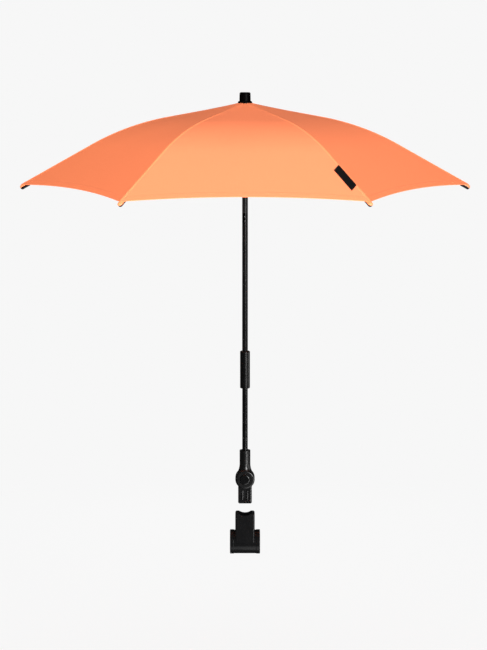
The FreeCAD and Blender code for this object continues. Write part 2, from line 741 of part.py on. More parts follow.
def make_pole():
    outer, inner = tube("lower_tube", "pole_diameter / 2", "pole_wall", "pole_bottom", "pole_top")
    screw_hole = cross_cylinder("pole_screw_hole", "screw_diameter / 2", "2 * pole_diameter", "Y",
                                z="knuckle_z + high_screw_height")
    piece(cut("lower_tube", outer, inner, screw_hole), "lower_pole_tube")

    spigot = cylinder("tongue_spigot", "pole_diameter / 2 - pole_wall", "hinge_spigot",
                      z="pole_top - hinge_spigot")
    blade = block("tongue_blade", even("2 * hinge_eye"), even("hinge_blade"), ("pole_top", "hinge_z"))
    eye = cross_cylinder("tongue_eye", "hinge_eye", "hinge_blade", "Y", z="hinge_z")
    pin_bore = cross_cylinder("tongue_pin_bore", "hinge_pin_diameter / 2 + hinge_pin_gap", "pole_diameter",
                              "Y", z="hinge_z")
    piece(cut("mid_tongue", fuse("mid_tongue_solid", spigot, blade, eye), pin_bore), "hinge_tongue")

    bar = cylinder("fork_bar", "shaft_diameter / 2", "fork_height + cheek_radius", z="hinge_z - cheek_radius")
    round_end = cross_cylinder("fork_round_end", "cheek_radius", "shaft_diameter", "Y", z="hinge_z")
    above = block("fork_above", even("shaft_diameter"), even("shaft_diameter"), ("hinge_z", "shaft_bottom"))
    cheeks = common("fork_cheeks", bar, fuse("fork_side", round_end, above))
    slot = block("fork_slot", even("2 * shaft_diameter"), even("hinge_blade + 2 * hinge_side_gap"),
                 ("hinge_z - shaft_diameter", "hinge_z + hinge_eye + hinge_end_gap"))
    pin_hole = cross_cylinder("fork_pin_hole", "hinge_pin_diameter / 2", "2 * shaft_diameter", "Y",
                              z="hinge_z")
    spigot = cylinder("fork_spigot", "shaft_bore", "hinge_spigot", z="shaft_bottom")
    piece(cut("mid_fork", fuse("mid_fork_solid", cheeks, spigot), slot, pin_hole), "hinge_fork")
    pin = cross_cylinder("mid_pin", "hinge_pin_diameter / 2", "shaft_diameter - 2 * hinge_end_gap", "Y",
                         z="hinge_z")
    piece(pin, "hinge_pin")

    inside, outside = "sleeve_bore / 2", "sleeve_diameter / 2"
    section = [
        (inside, "sleeve_bottom"),
        (f"{outside} - sleeve_bevel", "sleeve_bottom"),
        (outside, "sleeve_bottom + sleeve_bevel"),
        (outside, "sleeve_top - sleeve_bevel"),
        (f"{outside} - sleeve_bevel", "sleeve_top"),
        (inside, "sleeve_top"),
    ]
    piece(turned("sleeve", section), "lock_sleeve")

    outer, inner = tube("upper_tube", "shaft_diameter / 2", "shaft_wall", "shaft_bottom", "shaft_top")
    window = block("catch_window", even("catch_width + 2 * catch_side_gap"), ("0", "shaft_diameter"),
                   ("catch_top - catch_nose - catch_slot_margin", "catch_top + catch_drop"))
    rivet_holes = [catch_rivet(name + "_hole", drop) for name, drop in CATCH_RIVETS]
    piece(cut("upper_tube", outer, inner, window, *rivet_holes), "upper_pole_tube")


# Catch: a sprung leaf inside the pole, whose nose stands under the open runner
CATCH_RIVETS = (("high_rivet", "catch_rivet_high"), ("low_rivet", "catch_rivet_low"))


def catch_rivet(name, drop):
    return cylinder(name, "catch_rivet_diameter / 2", "catch_rivet_length", "Y", y="-shaft_diameter / 2",
                    z=f"runner_bottom - {drop}")


def make_catch():
    plug = cylinder("catch_plug", "shaft_bore", "block_length", z="block_bottom")
    slot = block("catch_plug_slot", even("catch_width + 2 * catch_side_gap"),
                 ("catch_leaf_back - catch_leaf - block_slot_depth", "shaft_diameter"),
                 ("catch_bottom - catch_side_gap", "block_bottom + 2 * block_length"))
    holes = [catch_rivet(name + "_seat", drop) for name, drop in CATCH_RIVETS]
    piece(cut("catch_holder", plug, slot, *holes), "catch_block")
    piece(group("rivet_pair", *[catch_rivet(name, drop) for name, drop in CATCH_RIVETS]), "catch_rivets")

    front = "catch_leaf_back - catch_leaf"
    side = [
        (front, "catch_bottom"),
        ("catch_leaf_back", "catch_bottom"),
        ("catch_leaf_back", "catch_top - catch_nose"),
        ("catch_reach", "catch_top - catch_nose_tip"),
        ("catch_reach", "catch_top"),
        (front, "catch_top"),
    ]
    piece(extruded("catch", side, "catch_width", SIDEWAYS), "runner_catch")


# Crown: the top hub, with a slot and a pin for each rib, and the cap above the canopy
def tangent_cylinder(name, radius, length, distance, z, rib):
    """A cylinder across a rib's plane, centred at a distance from the pole."""
    turn = SECTOR * (rib - 1)
    lean = math.radians(turn)
    obj = doc.addObject("Part::Cylinder", name)
    obj.Placement.Rotation = Rotation(Vector(0, 0, 1), Vector(-math.sin(lean), math.cos(lean), 0))
    bind(obj, Radius=radius, Height=length)
    x = f"{distance} * cos({turn}) + ({length}) / 2 * sin({turn})"
    y = f"{distance} * sin({turn}) - ({length}) / 2 * cos({turn})"
    return put(obj, x, y, z)


def make_crown():
    stud = "stud_diameter / 2"
    shaft = "shaft_diameter / 2"
    section = [
        ("0", "shaft_top"),
        (shaft, "shaft_top"),
        (shaft, "crown_bottom - crown_skirt"),
        ("crown_skirt_radius", "crown_bottom - crown_skirt"),
        ("crown_skirt_radius", "crown_bottom"),
        ("crown_radius", "crown_bottom"),
        ("crown_radius", "crown_top"),
        (stud, "crown_top"),
        (stud, "crown_top + stud_height"),
        ("0", "crown_top + stud_height"),
    ]
    body = turned("crown_hub", section)
    half = "rib_diameter / 2 + slot_gap"
    reach = "2 * crown_radius"
    slot = pocket_around(body, "crown_slot", "XY_Plane", [
        ("crown_slot_start", f"-({half})"),
        (reach, f"-({half})"),
        (reach, half),
        ("crown_slot_start", half),
    ], "4 * apex_z")
    doc.recompute()
    pattern_around(body, "crown_slots", slot)
    pins = [tangent_cylinder(f"crown_pin_{rib}", "pin_diameter / 2", "pin_length", "crown_hinge_radius",
                             "crown_hinge_z", rib) for rib in range(1, RIB_COUNT + 1)]
    piece(cut("crown_hub_drilled", body, *pins), "crown")
    piece(group("crown_pin_set", *pins), "crown_pins")

    ring = cylinder("washer_ring", "washer_radius", "washer_thickness", z="crown_top")
    hole = cylinder("washer_hole", stud, "3 * washer_thickness", z="crown_top - washer_thickness")
    piece(cut("washer", ring, hole), "canopy_washer")

    section = [
        (stud, "washer_top"),
        ("cap_flange_radius", "washer_top"),
        ("cap_flange_radius", "washer_top + cap_flange"),
        ("cap_base_radius", "washer_top + cap_flange"),
        ("cap_top_radius", "cap_top"),
        ("0", "cap_top"),
        ("0", "crown_top + stud_height"),
        (stud, "crown_top + stud_height"),
    ]
    cap = turned("cap_turned", section)
    doc.recompute()
    top = number("cap_top")
    flange = number("washer_top + cap_flange")
    wide = number("cap_flange_radius")

    def is_top_rim(edge):
        return is_circle(edge) and abs(edge.CenterOfMass.z - top) < 0.001

    def is_flange_rim(edge):
        at_flange = is_circle(edge) and abs(edge.CenterOfMass.z - flange) < 0.001
        return at_flange and abs(edge.Curve.Radius - wide) < 0.001

    cap = rounded("cap_domed", cap, "cap_round", is_top_rim)
    piece(rounded("cap", cap, "cap_flange_round", is_flange_rim), "ferrule_cap")


# Ribs: bent rods with an eye at the crown, a lug for the stretcher and a black end cap
def rib_path(name):
    """The rib's axis in the XZ plane."""
    first = ("rib_corner - rib_tangent * cos(rib_slope)",
             "apex_z - rib_corner_drop + rib_tangent * sin(rib_slope)", "rib_bend_radius", 1)
    last = ("rib_corner + rib_tangent * cos(hem_slope)",
            "apex_z - rib_corner_drop - rib_tangent * sin(hem_slope)")
    sketch = doc.addObject("Sketcher::SketchObject", name)
    sketch.Placement = Placement(Vector(), UPRIGHT)
    start = ("crown_hinge_radius", "crown_hinge_z")
    return draw(sketch, [start, first, last, ("rib_end", "apex_z - rib_end_drop"), "open"])


def make_rib(rib):
    name = f"rib_{rib}"
    ring = doc.addObject("Part::Circle", name + "_ring")
    bind(ring, Radius="rib_radius")
    put(ring, "crown_hinge_radius", "0", "crown_hinge_z")
    ring.Placement.Rotation = Rotation(Vector(0, 1, 0), 90 + number("rib_slope"))
    rod = doc.addObject("Part::Sweep", name + "_rod")
    rod.Sections = [ring]
    rod.Spine = (rib_path(name + "_path"), ["Edge1", "Edge2", "Edge3"])
    rod.Solid = True
    eye = cross_cylinder(name + "_eye", "rib_eye", "rib_eye_thickness", "Y", "crown_hinge_radius",
                         "crown_hinge_z")
    lug_eye = cross_cylinder(name + "_lug_eye", "lug_eye", "lug_thickness", "Y", "rivet_radius", "rivet_z")
    lug = block(name + "_lug", ("rivet_radius - lug_eye", "rivet_radius + lug_eye"), even("lug_thickness"),
                ("rivet_z", "rivet_z + lug_length"))
    pin_hole = cross_cylinder(name + "_pin_hole", "pin_diameter / 2 + pin_gap", "4 * rib_diameter", "Y",
                              "crown_hinge_radius", "crown_hinge_z")
    rivet_hole = cross_cylinder(name + "_rivet_hole", "rivet_diameter / 2", "4 * rib_diameter", "Y",
                                "rivet_radius", "rivet_z")
    solid = fuse(name + "_solid", rod, eye, lug_eye, lug)
    piece(around(cut(name + "_drilled", solid, pin_hole, rivet_hole), rib), name)

    cap = cylinder(f"tip_{rib}_cap", "tip_diameter / 2", "tip_length", "X", z="-tip_sink")
    far = number("tip_length")
    cap = rounded(f"tip_{rib}_round", cap, "tip_round",
                  lambda edge: is_circle(edge) and abs(edge.CenterOfMass.x - far) < 0.001)
    bore = cylinder(f"tip_{rib}_bore", "rib_radius", "2 * tip_cover", "X", x="-tip_cover")
    tip = cut(f"tip_{rib}", cap, bore)
    back = Vector(number("rib_end - tip_cover * cos(hem_slope)"), 0,
                  number("apex_z - rib_end_drop + tip_cover * sin(hem_slope)"))
    tip.Placement = Placement(back, Rotation(Vector(0, 1, 0), number("hem_slope")))
    piece(around(tip, rib), f"rib_tip_{rib}")
    piece(tangent_cylinder(f"rivet_{rib}", "rivet_diameter / 2", "2 * (fork_outer + rivet_head)",
                           "rivet_radius", "rivet_z", rib), f"stretcher_rivet_{rib}")


# Stretchers: struts from the runner to the ribs
def make_stretcher(rib):
    name = f"stretcher_{rib}"
    rod = cylinder(name + "_rod", "stretcher_diameter / 2", "stretcher_length - fork_reach", "X")
    pin = cross_cylinder(name + "_cross_pin", "cross_pin_diameter / 2", "cross_pin_length", "Y")
    flat = even("stretcher_diameter")
    start = "stretcher_length - fork_reach - fork_bridge"
    bridge = block(name + "_bridge", (start, "stretcher_length - fork_reach"), even("2 * fork_outer"), flat)
    cheeks = block(name + "_cheeks", ("stretcher_length - fork_reach", "stretcher_length"),
                   even("2 * fork_outer"), flat)
    eyes = cross_cylinder(name + "_eyes", "lug_eye", "2 * fork_outer", "Y", "stretcher_length")
    gap = block(name + "_gap", ("stretcher_length - fork_reach", "stretcher_length + 2 * lug_eye"),
                even("2 * fork_inner"), even("4 * lug_eye"))
    hole = cross_cylinder(name + "_hole", "rivet_diameter / 2 + pin_gap", "4 * fork_outer", "Y",
                          "stretcher_length")
    solid = fuse(name + "_solid", rod, pin, bridge, cheeks, eyes)
    strut = cut(name + "_cut", solid, gap, hole)
    seat = Vector(number("crown_hinge_radius"), 0, number("runner_pivot_z"))
    strut.Placement = Placement(seat, Rotation(Vector(0, 1, 0), -number("stretcher_angle")))
    piece(around(strut, rib), name)


# Runner: the sliding hub that carries the stretchers
def make_runner():
    section = [
        ("runner_bore", "runner_bottom"),
        ("runner_grip_radius", "runner_bottom"),
        ("runner_grip_radius", "runner_bottom + runner_grip"),
        ("runner_radius", "runner_bottom + runner_grip"),
        ("runner_radius", "flange_bottom"),
        ("runner_flange_radius", "flange_bottom"),
        ("runner_flange_radius", "flange_top"),
        ("runner_collar_radius", "flange_top"),
        ("runner_collar_radius", "flange_top + runner_collar"),
        ("runner_bore", "flange_top + runner_collar"),
    ]
    body = turned("runner_hub", section)
    half = "stretcher_diameter / 2 + slot_gap"
    reach = "2 * runner_flange_radius"
    slot = pocket_around(body, "runner_slot", "XY_Plane", [
        ("runner_slot_start", f"-({half})"),
        (reach, f"-({half})"),
        (reach, half),
        ("runner_slot_start", half),
    ], "4 * apex_z")
    doc.recompute()
    piece(pattern_around(body, "runner_slots", slot), "runner")


# Canopy: six sectors, each one curved in section and straight across, with a scalloped hem
HALF_SECTOR = SECTOR / 2
ACROSS = f"cos({HALF_SECTOR})"


def canopy_band(name, low, high):
    """A curved band that holds half a gore, between two heights over the fabric's underside."""
    first_slope = f"atan(tan(crown_slope) / {ACROSS})"
    last_slope = f"atan(tan(hem_slope) / {ACROSS})"
    radius = f"(bend_end - inner_straight) * {ACROSS} / (sin({last_slope}) - sin({first_slope}))"
    far = "(canopy_radius + scallop)"
    far_drop = "tip_drop + scallop * tan(hem_slope)"

    def level(drop, lift):
        return f"apex_z - fabric_thickness + ({lift}) - ({drop})"

    corners = [
        ("0", level("0", high)),
        (f"inner_straight * {ACROSS}", level("bend_start_drop", high), radius, 1),
        (f"bend_end * {ACROSS}", level("bend_end_drop", high)),
        (f"{far} * {ACROSS}", level(far_drop, high)),
        (f"{far} * {ACROSS}", level(far_drop, low)),
        (f"bend_end * {ACROSS}", level("bend_end_drop", low), radius, -1),
        (f"inner_straight * {ACROSS}", level("bend_start_drop", low)),
        ("0", level("0", low)),
    ]
    turn = Rotation(Vector(0, 0, 1), HALF_SECTOR) * UPRIGHT
    return extruded(name, corners, "2 * canopy_radius", turn)


def canopy_half(name):
    """Half a gore beside the rib on the X axis."""
    c, s = f"cos({HALF_SECTOR})", f"sin({HALF_SECTOR})"
    chord = f"canopy_radius * {s}"
    hem = f"canopy_radius * {c} - scallop"
    hem_radius = f"({chord} * {chord} + scallop ^ 2) / (2 * scallop)"
    back_x, back_y = f"panel_gap / 2 * {s}", f"panel_gap / 2 * {c}"
    plan = [
        ("canopy_eye", "0"),
        ("canopy_radius", "0", hem_radius, 1),
        (f"({hem}) * {c} + {back_x}", f"({hem}) * {s} - {back_y}"),
        (f"canopy_eye * {c} + {back_x}", f"canopy_eye * {s} - {back_y}"),
    ]
    column = extruded(name + "_column", plan, "2 * apex_z", symmetric=False)
    return common(name, canopy_band(name + "_band", "0", "fabric_thickness"), column)


def mirrored(name, source):
    obj = doc.addObject("Part::Mirroring", name)
    obj.Source = source
    obj.Normal = Vector(0, 1, 0)
    return obj


def make_panel(rib):
    name = f"panel_{rib}"
    half = canopy_half(name + "_half")
    other = mirrored(name + "_other", half)
    piece(around(fuse(name, half, other), rib), f"canopy_panel_{rib}")


def make_label():
    near, wide = "label_seam_gap", "label_seam_gap + label_width"
    plan = [
        ("label_start", near),
        ("label_end", near),
        ("label_end + label_slant", wide),
        ("label_start + label_slant", wide),
    ]
    column = extruded("label_column", plan, "2 * apex_z", symmetric=False)
    low = "fabric_thickness + label_lift"
    band = canopy_band("label_band", low, low + " + label_thickness")
    tag = mirrored("label_tag", common("label_half", band, column))
    piece(around(tag, LABEL_RIB), "canopy_label")


make_clip()
make_plug()
make_knuckle()
make_button()
make_pole()
make_catch()
make_crown()
make_runner()
for rib in range(1, RIB_COUNT + 1):
    make_rib(rib)
    make_stretcher(rib)
    make_panel(rib)
make_label()
doc.recompute()

# Check every object and every sub-part before anything is written
for obj in doc.Objects:
    if "Invalid" in obj.State or "Error" in obj.State:
        raise RuntimeError(f"{obj.Name} did not rebuild: {obj.State}")
for obj in PIECES:
    if obj.Shape.isNull() or not obj.Shape.isValid() or not obj.Shape.Solids:
        raise RuntimeError(f"{obj.Label} has no valid solid")

os.makedirs("parts", exist_ok=True)
for obj in PIECES:
    obj.Shape.exportStep(os.path.join("parts", obj.Label + ".step"))
    print(f"{obj.Label}: {len(obj.Shape.Solids)} solid, {obj.Shape.Volume:.1f} mm3")
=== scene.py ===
import math

import bmesh
import bpy
from mathutils import Euler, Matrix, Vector


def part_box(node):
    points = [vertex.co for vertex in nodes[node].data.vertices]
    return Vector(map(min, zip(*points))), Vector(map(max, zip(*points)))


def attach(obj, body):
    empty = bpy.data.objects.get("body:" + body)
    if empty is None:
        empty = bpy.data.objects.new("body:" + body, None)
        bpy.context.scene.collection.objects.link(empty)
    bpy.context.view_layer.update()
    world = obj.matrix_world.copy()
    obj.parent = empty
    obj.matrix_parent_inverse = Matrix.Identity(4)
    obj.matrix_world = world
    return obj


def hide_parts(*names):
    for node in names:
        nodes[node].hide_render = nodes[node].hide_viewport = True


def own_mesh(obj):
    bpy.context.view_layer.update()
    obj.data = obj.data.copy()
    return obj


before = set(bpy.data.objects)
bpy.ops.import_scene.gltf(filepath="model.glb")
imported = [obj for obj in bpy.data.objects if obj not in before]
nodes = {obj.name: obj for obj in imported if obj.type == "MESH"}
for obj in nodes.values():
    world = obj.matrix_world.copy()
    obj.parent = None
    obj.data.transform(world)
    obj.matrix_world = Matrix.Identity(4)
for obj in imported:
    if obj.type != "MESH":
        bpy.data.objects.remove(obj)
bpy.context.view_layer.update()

# Clip: a black glass-filled nylon jaw, moulded in one piece, that pushes onto a pram's frame tube.
# Its neck is a socket for the pole's plug. The mould leaves a fine even grain on the outside.
MIX_LOW, MIX_HIGH, MIX_RESULT = 6, 7, 2


def new_material(name):
    """A node material, with its tree and its Principled shader."""
    material = bpy.data.materials.new(name)
    material.use_nodes = True
    tree = material.node_tree
    return material, tree, tree.nodes["Principled BSDF"]


def group_input(tree, name, kind, value=None):
    """One named input of a node group, with the value that it starts from."""
    socket = tree.interface.new_socket(name, in_out="INPUT", socket_type=kind)
    if value is not None:
        socket.default_value = value


def feed(tree, socket, value):
    """Set a socket to a plain number or colour, or link it to another socket."""
    if isinstance(value, (int, float, tuple)):
        socket.default_value = value
    else:
        tree.links.new(value, socket)


def math_node(tree, operation, *values):
    """One Math node. Its inputs are sockets or plain numbers."""
    node = tree.nodes.new("ShaderNodeMath")
    node.operation = operation
    for socket, value in zip(node.inputs, values):
        feed(tree, socket, value)
    return node.outputs[0]


def mix_colour(tree, share, low, high):
    """One Mix node between two colours, by the numbers of its colour sockets."""
    node = tree.nodes.new("ShaderNodeMix")
    node.data_type = "RGBA"
    feed(tree, node.inputs["Factor"], share)
    feed(tree, node.inputs[MIX_LOW], low)
    feed(tree, node.inputs[MIX_HIGH], high)
    return node.outputs[MIX_RESULT]


def noise(tree, vector, scale, detail):
    """The value of one noise texture."""
    node = tree.nodes.new("ShaderNodeTexNoise")
    feed(tree, node.inputs["Vector"], vector)
    feed(tree, node.inputs["Scale"], scale)
    feed(tree, node.inputs["Detail"], detail)
    return node.outputs["Fac"]


def spread(tree, value, low, high, to_low=0.0, to_high=1.0):
    """Map Range from one span to another, clamped."""
    node = tree.nodes.new("ShaderNodeMapRange")
    feed(tree, node.inputs["Value"], value)
    for name, end in (("From Min", low), ("From Max", high), ("To Min", to_low), ("To Max", to_high)):
        feed(tree, node.inputs[name], end)
    return node.outputs["Result"]


def stretch(tree, vector, scale):
    """Scaled coordinates, which draw a pattern out along one direction."""
    node = tree.nodes.new("ShaderNodeMapping")
    feed(tree, node.inputs["Scale"], scale)
    feed(tree, node.inputs["Vector"], vector)
    return node.outputs["Vector"]


def moulded_grain_group():
    """Spark-eroded mould grain with faint rub marks: a height, a roughness and a mask of rubs."""
    tree = bpy.data.node_groups.new("moulded_grain", "ShaderNodeTree")
    group_input(tree, "Vector", "NodeSocketVector")
    group_input(tree, "Grain Scale", "NodeSocketFloat", 1500.0)
    group_input(tree, "Smooth Roughness", "NodeSocketFloat", 0.35)
    group_input(tree, "Rough Roughness", "NodeSocketFloat", 0.55)
    for name in ("Height", "Roughness", "Rub"):
        tree.interface.new_socket(name, in_out="OUTPUT", socket_type="NodeSocketFloat")
    source = tree.nodes.new("NodeGroupInput").outputs
    grain = noise(tree, source["Vector"], source["Grain Scale"], detail=3.0)
    patches = noise(tree, source["Vector"], scale=70.0, detail=4.0)
    rough = spread(tree, patches, low=0.3, high=0.7,
                   to_low=source["Smooth Roughness"], to_high=source["Rough Roughness"])
    drawn_out = stretch(tree, source["Vector"], scale=(1.0, 1.0, 0.12))
    streaks = noise(tree, drawn_out, scale=420.0, detail=5.0)
    streaky = spread(tree, streaks, low=0.58, high=0.74)
    patchy = spread(tree, patches, low=0.45, high=0.7)
    rub = math_node(tree, "MULTIPLY", streaky, patchy)
    sink = tree.nodes.new("NodeGroupOutput").inputs
    tree.links.new(grain, sink["Height"])
    tree.links.new(rough, sink["Roughness"])
    tree.links.new(rub, sink["Rub"])
    return tree


moulded_grain = moulded_grain_group()


def object_coordinates(tree):
    """Coordinates fixed to the object, in metres."""
    return tree.nodes.new("ShaderNodeTexCoord").outputs["Object"]


def place_group(tree, group, vector, **values):
    """Put a shared group into a material with its own values."""
    node = tree.nodes.new("ShaderNodeGroup")
    node.node_tree = group
    tree.links.new(vector, node.inputs["Vector"])
    for name, value in values.items():
        node.inputs[name.replace("_", " ").title()].default_value = value
    return node.outputs


def raise_bump(tree, shader, height, distance, strength=1.0):
    """One Bump node into the shader's normal."""
    bump = tree.nodes.new("ShaderNodeBump")
    bump.inputs["Distance"].default_value = distance
    bump.inputs["Strength"].default_value = strength
    tree.links.new(height, bump.inputs["Height"])
    tree.links.new(bump.outputs["Normal"], shader.inputs["Normal"])


def moulded_plastic(name, dark, rubbed, smooth, rough, grain_scale, grain_depth, gloss):
    """Moulded black plastic: grain in its bump and roughness, paler where hands rub it."""
    material, tree, shader = new_material(name)
    grain = place_group(tree, moulded_grain, object_coordinates(tree), grain_scale=grain_scale,
                        smooth_roughness=smooth, rough_roughness=rough)
    tree.links.new(mix_colour(tree, grain["Rub"], dark, rubbed), shader.inputs["Base Color"])
    tree.links.new(grain["Roughness"], shader.inputs["Roughness"])
    shader.inputs["Specular IOR Level"].default_value = gloss
    raise_bump(tree, shader, grain["Height"], grain_depth)
    return material


def finish_node(name, material):
    """Give a CAD node its own material."""
    mesh = nodes[name].data
    mesh.materials.clear()
    mesh.materials.append(material)


nylon_black = moulded_plastic(
    "nylon_black", dark=(0.0031, 0.0031, 0.0033, 1.0), rubbed=(0.008, 0.008, 0.0084, 1.0),
    smooth=0.22, rough=0.29, grain_scale=1400.0, grain_depth=0.00001, gloss=0.08)
finish_node("clip_body", nylon_black)

# Liner of the jaw: a soft black rubber strip with a matt, slightly dusty face.
# It is bonded into the jaw and grips the tube.
rubber_black = moulded_plastic(
    "rubber_black", dark=(0.006, 0.006, 0.006, 1.0), rubbed=(0.014, 0.0138, 0.0135, 1.0),
    smooth=0.75, rough=0.92, grain_scale=900.0, grain_depth=0.00008, gloss=0.10)
finish_node("clip_liner", rubber_black)

# Plug and knuckle: black nylon with a finer grain than the clip's, because hands turn and press them.
# The knuckle's two shells are screwed together around the plug's round tongue.
knuckle_black = moulded_plastic(
    "knuckle_black", dark=(0.0018, 0.0018, 0.0019, 1.0), rubbed=(0.006, 0.006, 0.0063, 1.0),
    smooth=0.26, rough=0.33, grain_scale=1800.0, grain_depth=0.000006, gloss=0.31)
for name in ("knuckle_front_shell", "knuckle_rear_shell"):
    finish_node(name, knuckle_black)
plug_black = moulded_plastic(
    "plug_black", dark=(0.0022, 0.0022, 0.0023, 1.0), rubbed=(0.006, 0.006, 0.0063, 1.0),
    smooth=0.18, rough=0.24, grain_scale=2000.0, grain_depth=0.000005, gloss=0.50)
finish_node("plug_body", plug_black)

# Release button: a satin black nylon cap with a dished face, moulded in one with its stem.
# The stem runs through the knuckle's pivot and carries the clutch plate.
button_black = moulded_plastic(
    "button_black", dark=(0.0018, 0.0018, 0.0019, 1.0), rubbed=(0.006, 0.006, 0.0063, 1.0),
    smooth=0.16, rough=0.22, grain_scale=2400.0, grain_depth=0.000005, gloss=0.35)
finish_node("release_button", button_black)

# Small steel pieces: screws, bush, clutch plate, the pole's hinge, pins, rivets and the catch.
# They are zinc-plated steel, turned or stamped, with fine tool lines. The catch's rivets are dark.
RIB_COUNT = 6
RIBS = range(1, RIB_COUNT + 1)


def brushed_metal(name, dark, light, smooth, rough):
    """Plain turned or drawn metal with fine lines along Z."""
    material, tree, shader = new_material(name)
    shader.inputs["Metallic"].default_value = 1.0
    drawn_out = stretch(tree, object_coordinates(tree), scale=(1.0, 1.0, 0.05))
    streaks = noise(tree, drawn_out, scale=2600.0, detail=3.0)
    roughness = spread(tree, streaks, low=0.3, high=0.7, to_low=smooth, to_high=rough)
    tree.links.new(mix_colour(tree, streaks, dark, light), shader.inputs["Base Color"])
    tree.links.new(roughness, shader.inputs["Roughness"])
    raise_bump(tree, shader, streaks, distance=0.00002)
    return material


zinc_steel = brushed_metal(
    "zinc_steel", dark=(0.30, 0.30, 0.31, 1.0), light=(0.50, 0.50, 0.51, 1.0), smooth=0.25, rough=0.45)
steel_nodes = ["knuckle_screws", "pivot_bush", "clutch_plate", "hinge_tongue", "hinge_fork", "hinge_pin",
               "crown_pins", "runner_catch"]
for name in steel_nodes + [f"stretcher_rivet_{rib}" for rib in RIBS]:
    finish_node(name, zinc_steel)
blued_steel = brushed_metal(
    "blued_steel", dark=(0.06, 0.06, 0.065, 1.0), light=(0.12, 0.12, 0.125, 1.0), smooth=0.30, rough=0.50)
finish_node("catch_rivets", blued_steel)

# Clutch spring: a conical steel washer between the clutch plate and the rear shell.
# Its wide edge faces the plate, and it rides with the lower pole without changing shape.
SPRING_WALL = 0.0008
SPRING_BORE = 0.0031
SPRING_STEPS = 96
spring_low, spring_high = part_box("clutch_spring")
spring_centre = (spring_low + spring_high) / 2


def keep_shape(shape, name, material):
    """Turn a finished bmesh into an object at the origin."""
    mesh = bpy.data.meshes.new(name)
    shape.to_mesh(mesh)
    shape.free()
    mesh.materials.append(material)
    piece = bpy.data.objects.new(name, mesh)
    bpy.context.scene.collection.objects.link(piece)
    return piece


def make_spring():
    """The washer, turned about the button's axis."""
    outer = (spring_high.x - spring_low.x) / 2
    section = [(outer, spring_low.y), (outer, spring_low.y + SPRING_WALL),
               (SPRING_BORE, spring_high.y), (SPRING_BORE, spring_high.y - SPRING_WALL)]
    shape = bmesh.new()
    rings = []
    for step in range(SPRING_STEPS):
        across = math.cos(math.tau * step / SPRING_STEPS)
        up = math.sin(math.tau * step / SPRING_STEPS)
        spots = [(reach * across, y, spring_centre.z + reach * up) for reach, y in section]
        rings.append([shape.verts.new(spot) for spot in spots])
    for step, ring in enumerate(rings):
        beside = rings[step - 1]
        for corner in range(len(section)):
            face = shape.faces.new([ring[corner], ring[corner - 1], beside[corner - 1], beside[corner]])
            face.smooth = True
            shape.edges.get((ring[corner], beside[corner])).smooth = False
    bmesh.ops.recalc_face_normals(shape, faces=shape.faces)
    return keep_shape(shape, "clutch_spring_cone", zinc_steel)


spring = make_spring()
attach(spring, "lower_pole")
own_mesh(spring)
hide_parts("clutch_spring")

# Lower tube: a short drawn tube, held in the knuckle by its screws.
# Its black powder coat is thin and slightly glossy, with fine orange peel.
LOWER_BLACK = (0.0009, 0.0009, 0.0010, 1.0)
UPPER_BLACK = (0.0020, 0.0020, 0.0021, 1.0)


def powder_coat(name, dark, worn, smooth, rough, gloss):
    """Thin black coat with fine orange peel, paler and duller in worn patches."""
    material, tree, shader = new_material(name)
    coordinates = object_coordinates(tree)
    peel = noise(tree, coordinates, scale=900.0, detail=2.0)
    patches = noise(tree, coordinates, scale=60.0, detail=4.0)
    wear = spread(tree, patches, low=0.35, high=0.75)
    roughness = spread(tree, patches, low=0.3, high=0.7, to_low=smooth, to_high=rough)
    tree.links.new(mix_colour(tree, wear, dark, worn), shader.inputs["Base Color"])
    tree.links.new(roughness, shader.inputs["Roughness"])
    raise_bump(tree, shader, peel, distance=0.000004)
    shader.inputs["Specular IOR Level"].default_value = gloss
    return material


lower_coat = powder_coat(
    "pole_coat", dark=LOWER_BLACK, worn=UPPER_BLACK, smooth=0.15, rough=0.20, gloss=0.24)
finish_node("lower_pole_tube", lower_coat)

# Upper tube: a long drawn tube with a duller coat, joined to the lower one by the hinge.
# It wears a short dark band over the catch's rivets, topped by a thin paler line. Above that the coat is
# paler grey.
BAND_BOTTOM = 0.517
BAND_TOP = 0.532
BAND_LINE = 0.0012
BAND_EDGE = 0.0003
WORN_BLACK = (0.0034, 0.0034, 0.0035, 1.0)
BAND_BLACK = (0.0004, 0.0004, 0.0004, 1.0)
LINE_GREY = (0.014, 0.014, 0.0145, 1.0)
ABOVE_BAND_GREY = (0.0060, 0.0060, 0.0062, 1.0)


def upper_pole_coat():
    """The coat in four steps up the tube: plain, band, line and paler grey."""
    material = powder_coat(
        "upper_pole_coat", dark=UPPER_BLACK, worn=WORN_BLACK, smooth=0.22, rough=0.30, gloss=0.08)
    tree = material.node_tree
    base = tree.nodes["Principled BSDF"].inputs["Base Color"]
    colour = base.links[0].from_socket
    parts = tree.nodes.new("ShaderNodeSeparateXYZ")
    tree.links.new(object_coordinates(tree), parts.inputs["Vector"])
    line_top = BAND_TOP + BAND_LINE
    steps = ((BAND_BOTTOM - BAND_EDGE, BAND_BOTTOM, BAND_BLACK), (BAND_TOP, BAND_TOP + BAND_EDGE, LINE_GREY),
             (line_top, line_top + BAND_EDGE, ABOVE_BAND_GREY))
    for low, high, shade in steps:
        colour = mix_colour(tree, spread(tree, parts.outputs["Z"], low, high), colour, shade)
    tree.links.new(colour, base)
    return material


finish_node("upper_pole_tube", upper_pole_coat())

# Sleeve, runner, crown, washer and the catch's block: moulded black nylon, duller than the knuckle's.
# The sleeve slides over the pole's hinge, and the runner on the upper tube. The crown is fixed at its top.
sleeve_black = moulded_plastic(
    "sleeve_black", dark=(0.0014, 0.0014, 0.0015, 1.0), rubbed=(0.004, 0.004, 0.0042, 1.0),
    smooth=0.24, rough=0.30, grain_scale=1800.0, grain_depth=0.000006, gloss=0.20)
for name in ("lock_sleeve", "runner", "crown", "canopy_washer", "catch_block"):
    finish_node(name, sleeve_black)

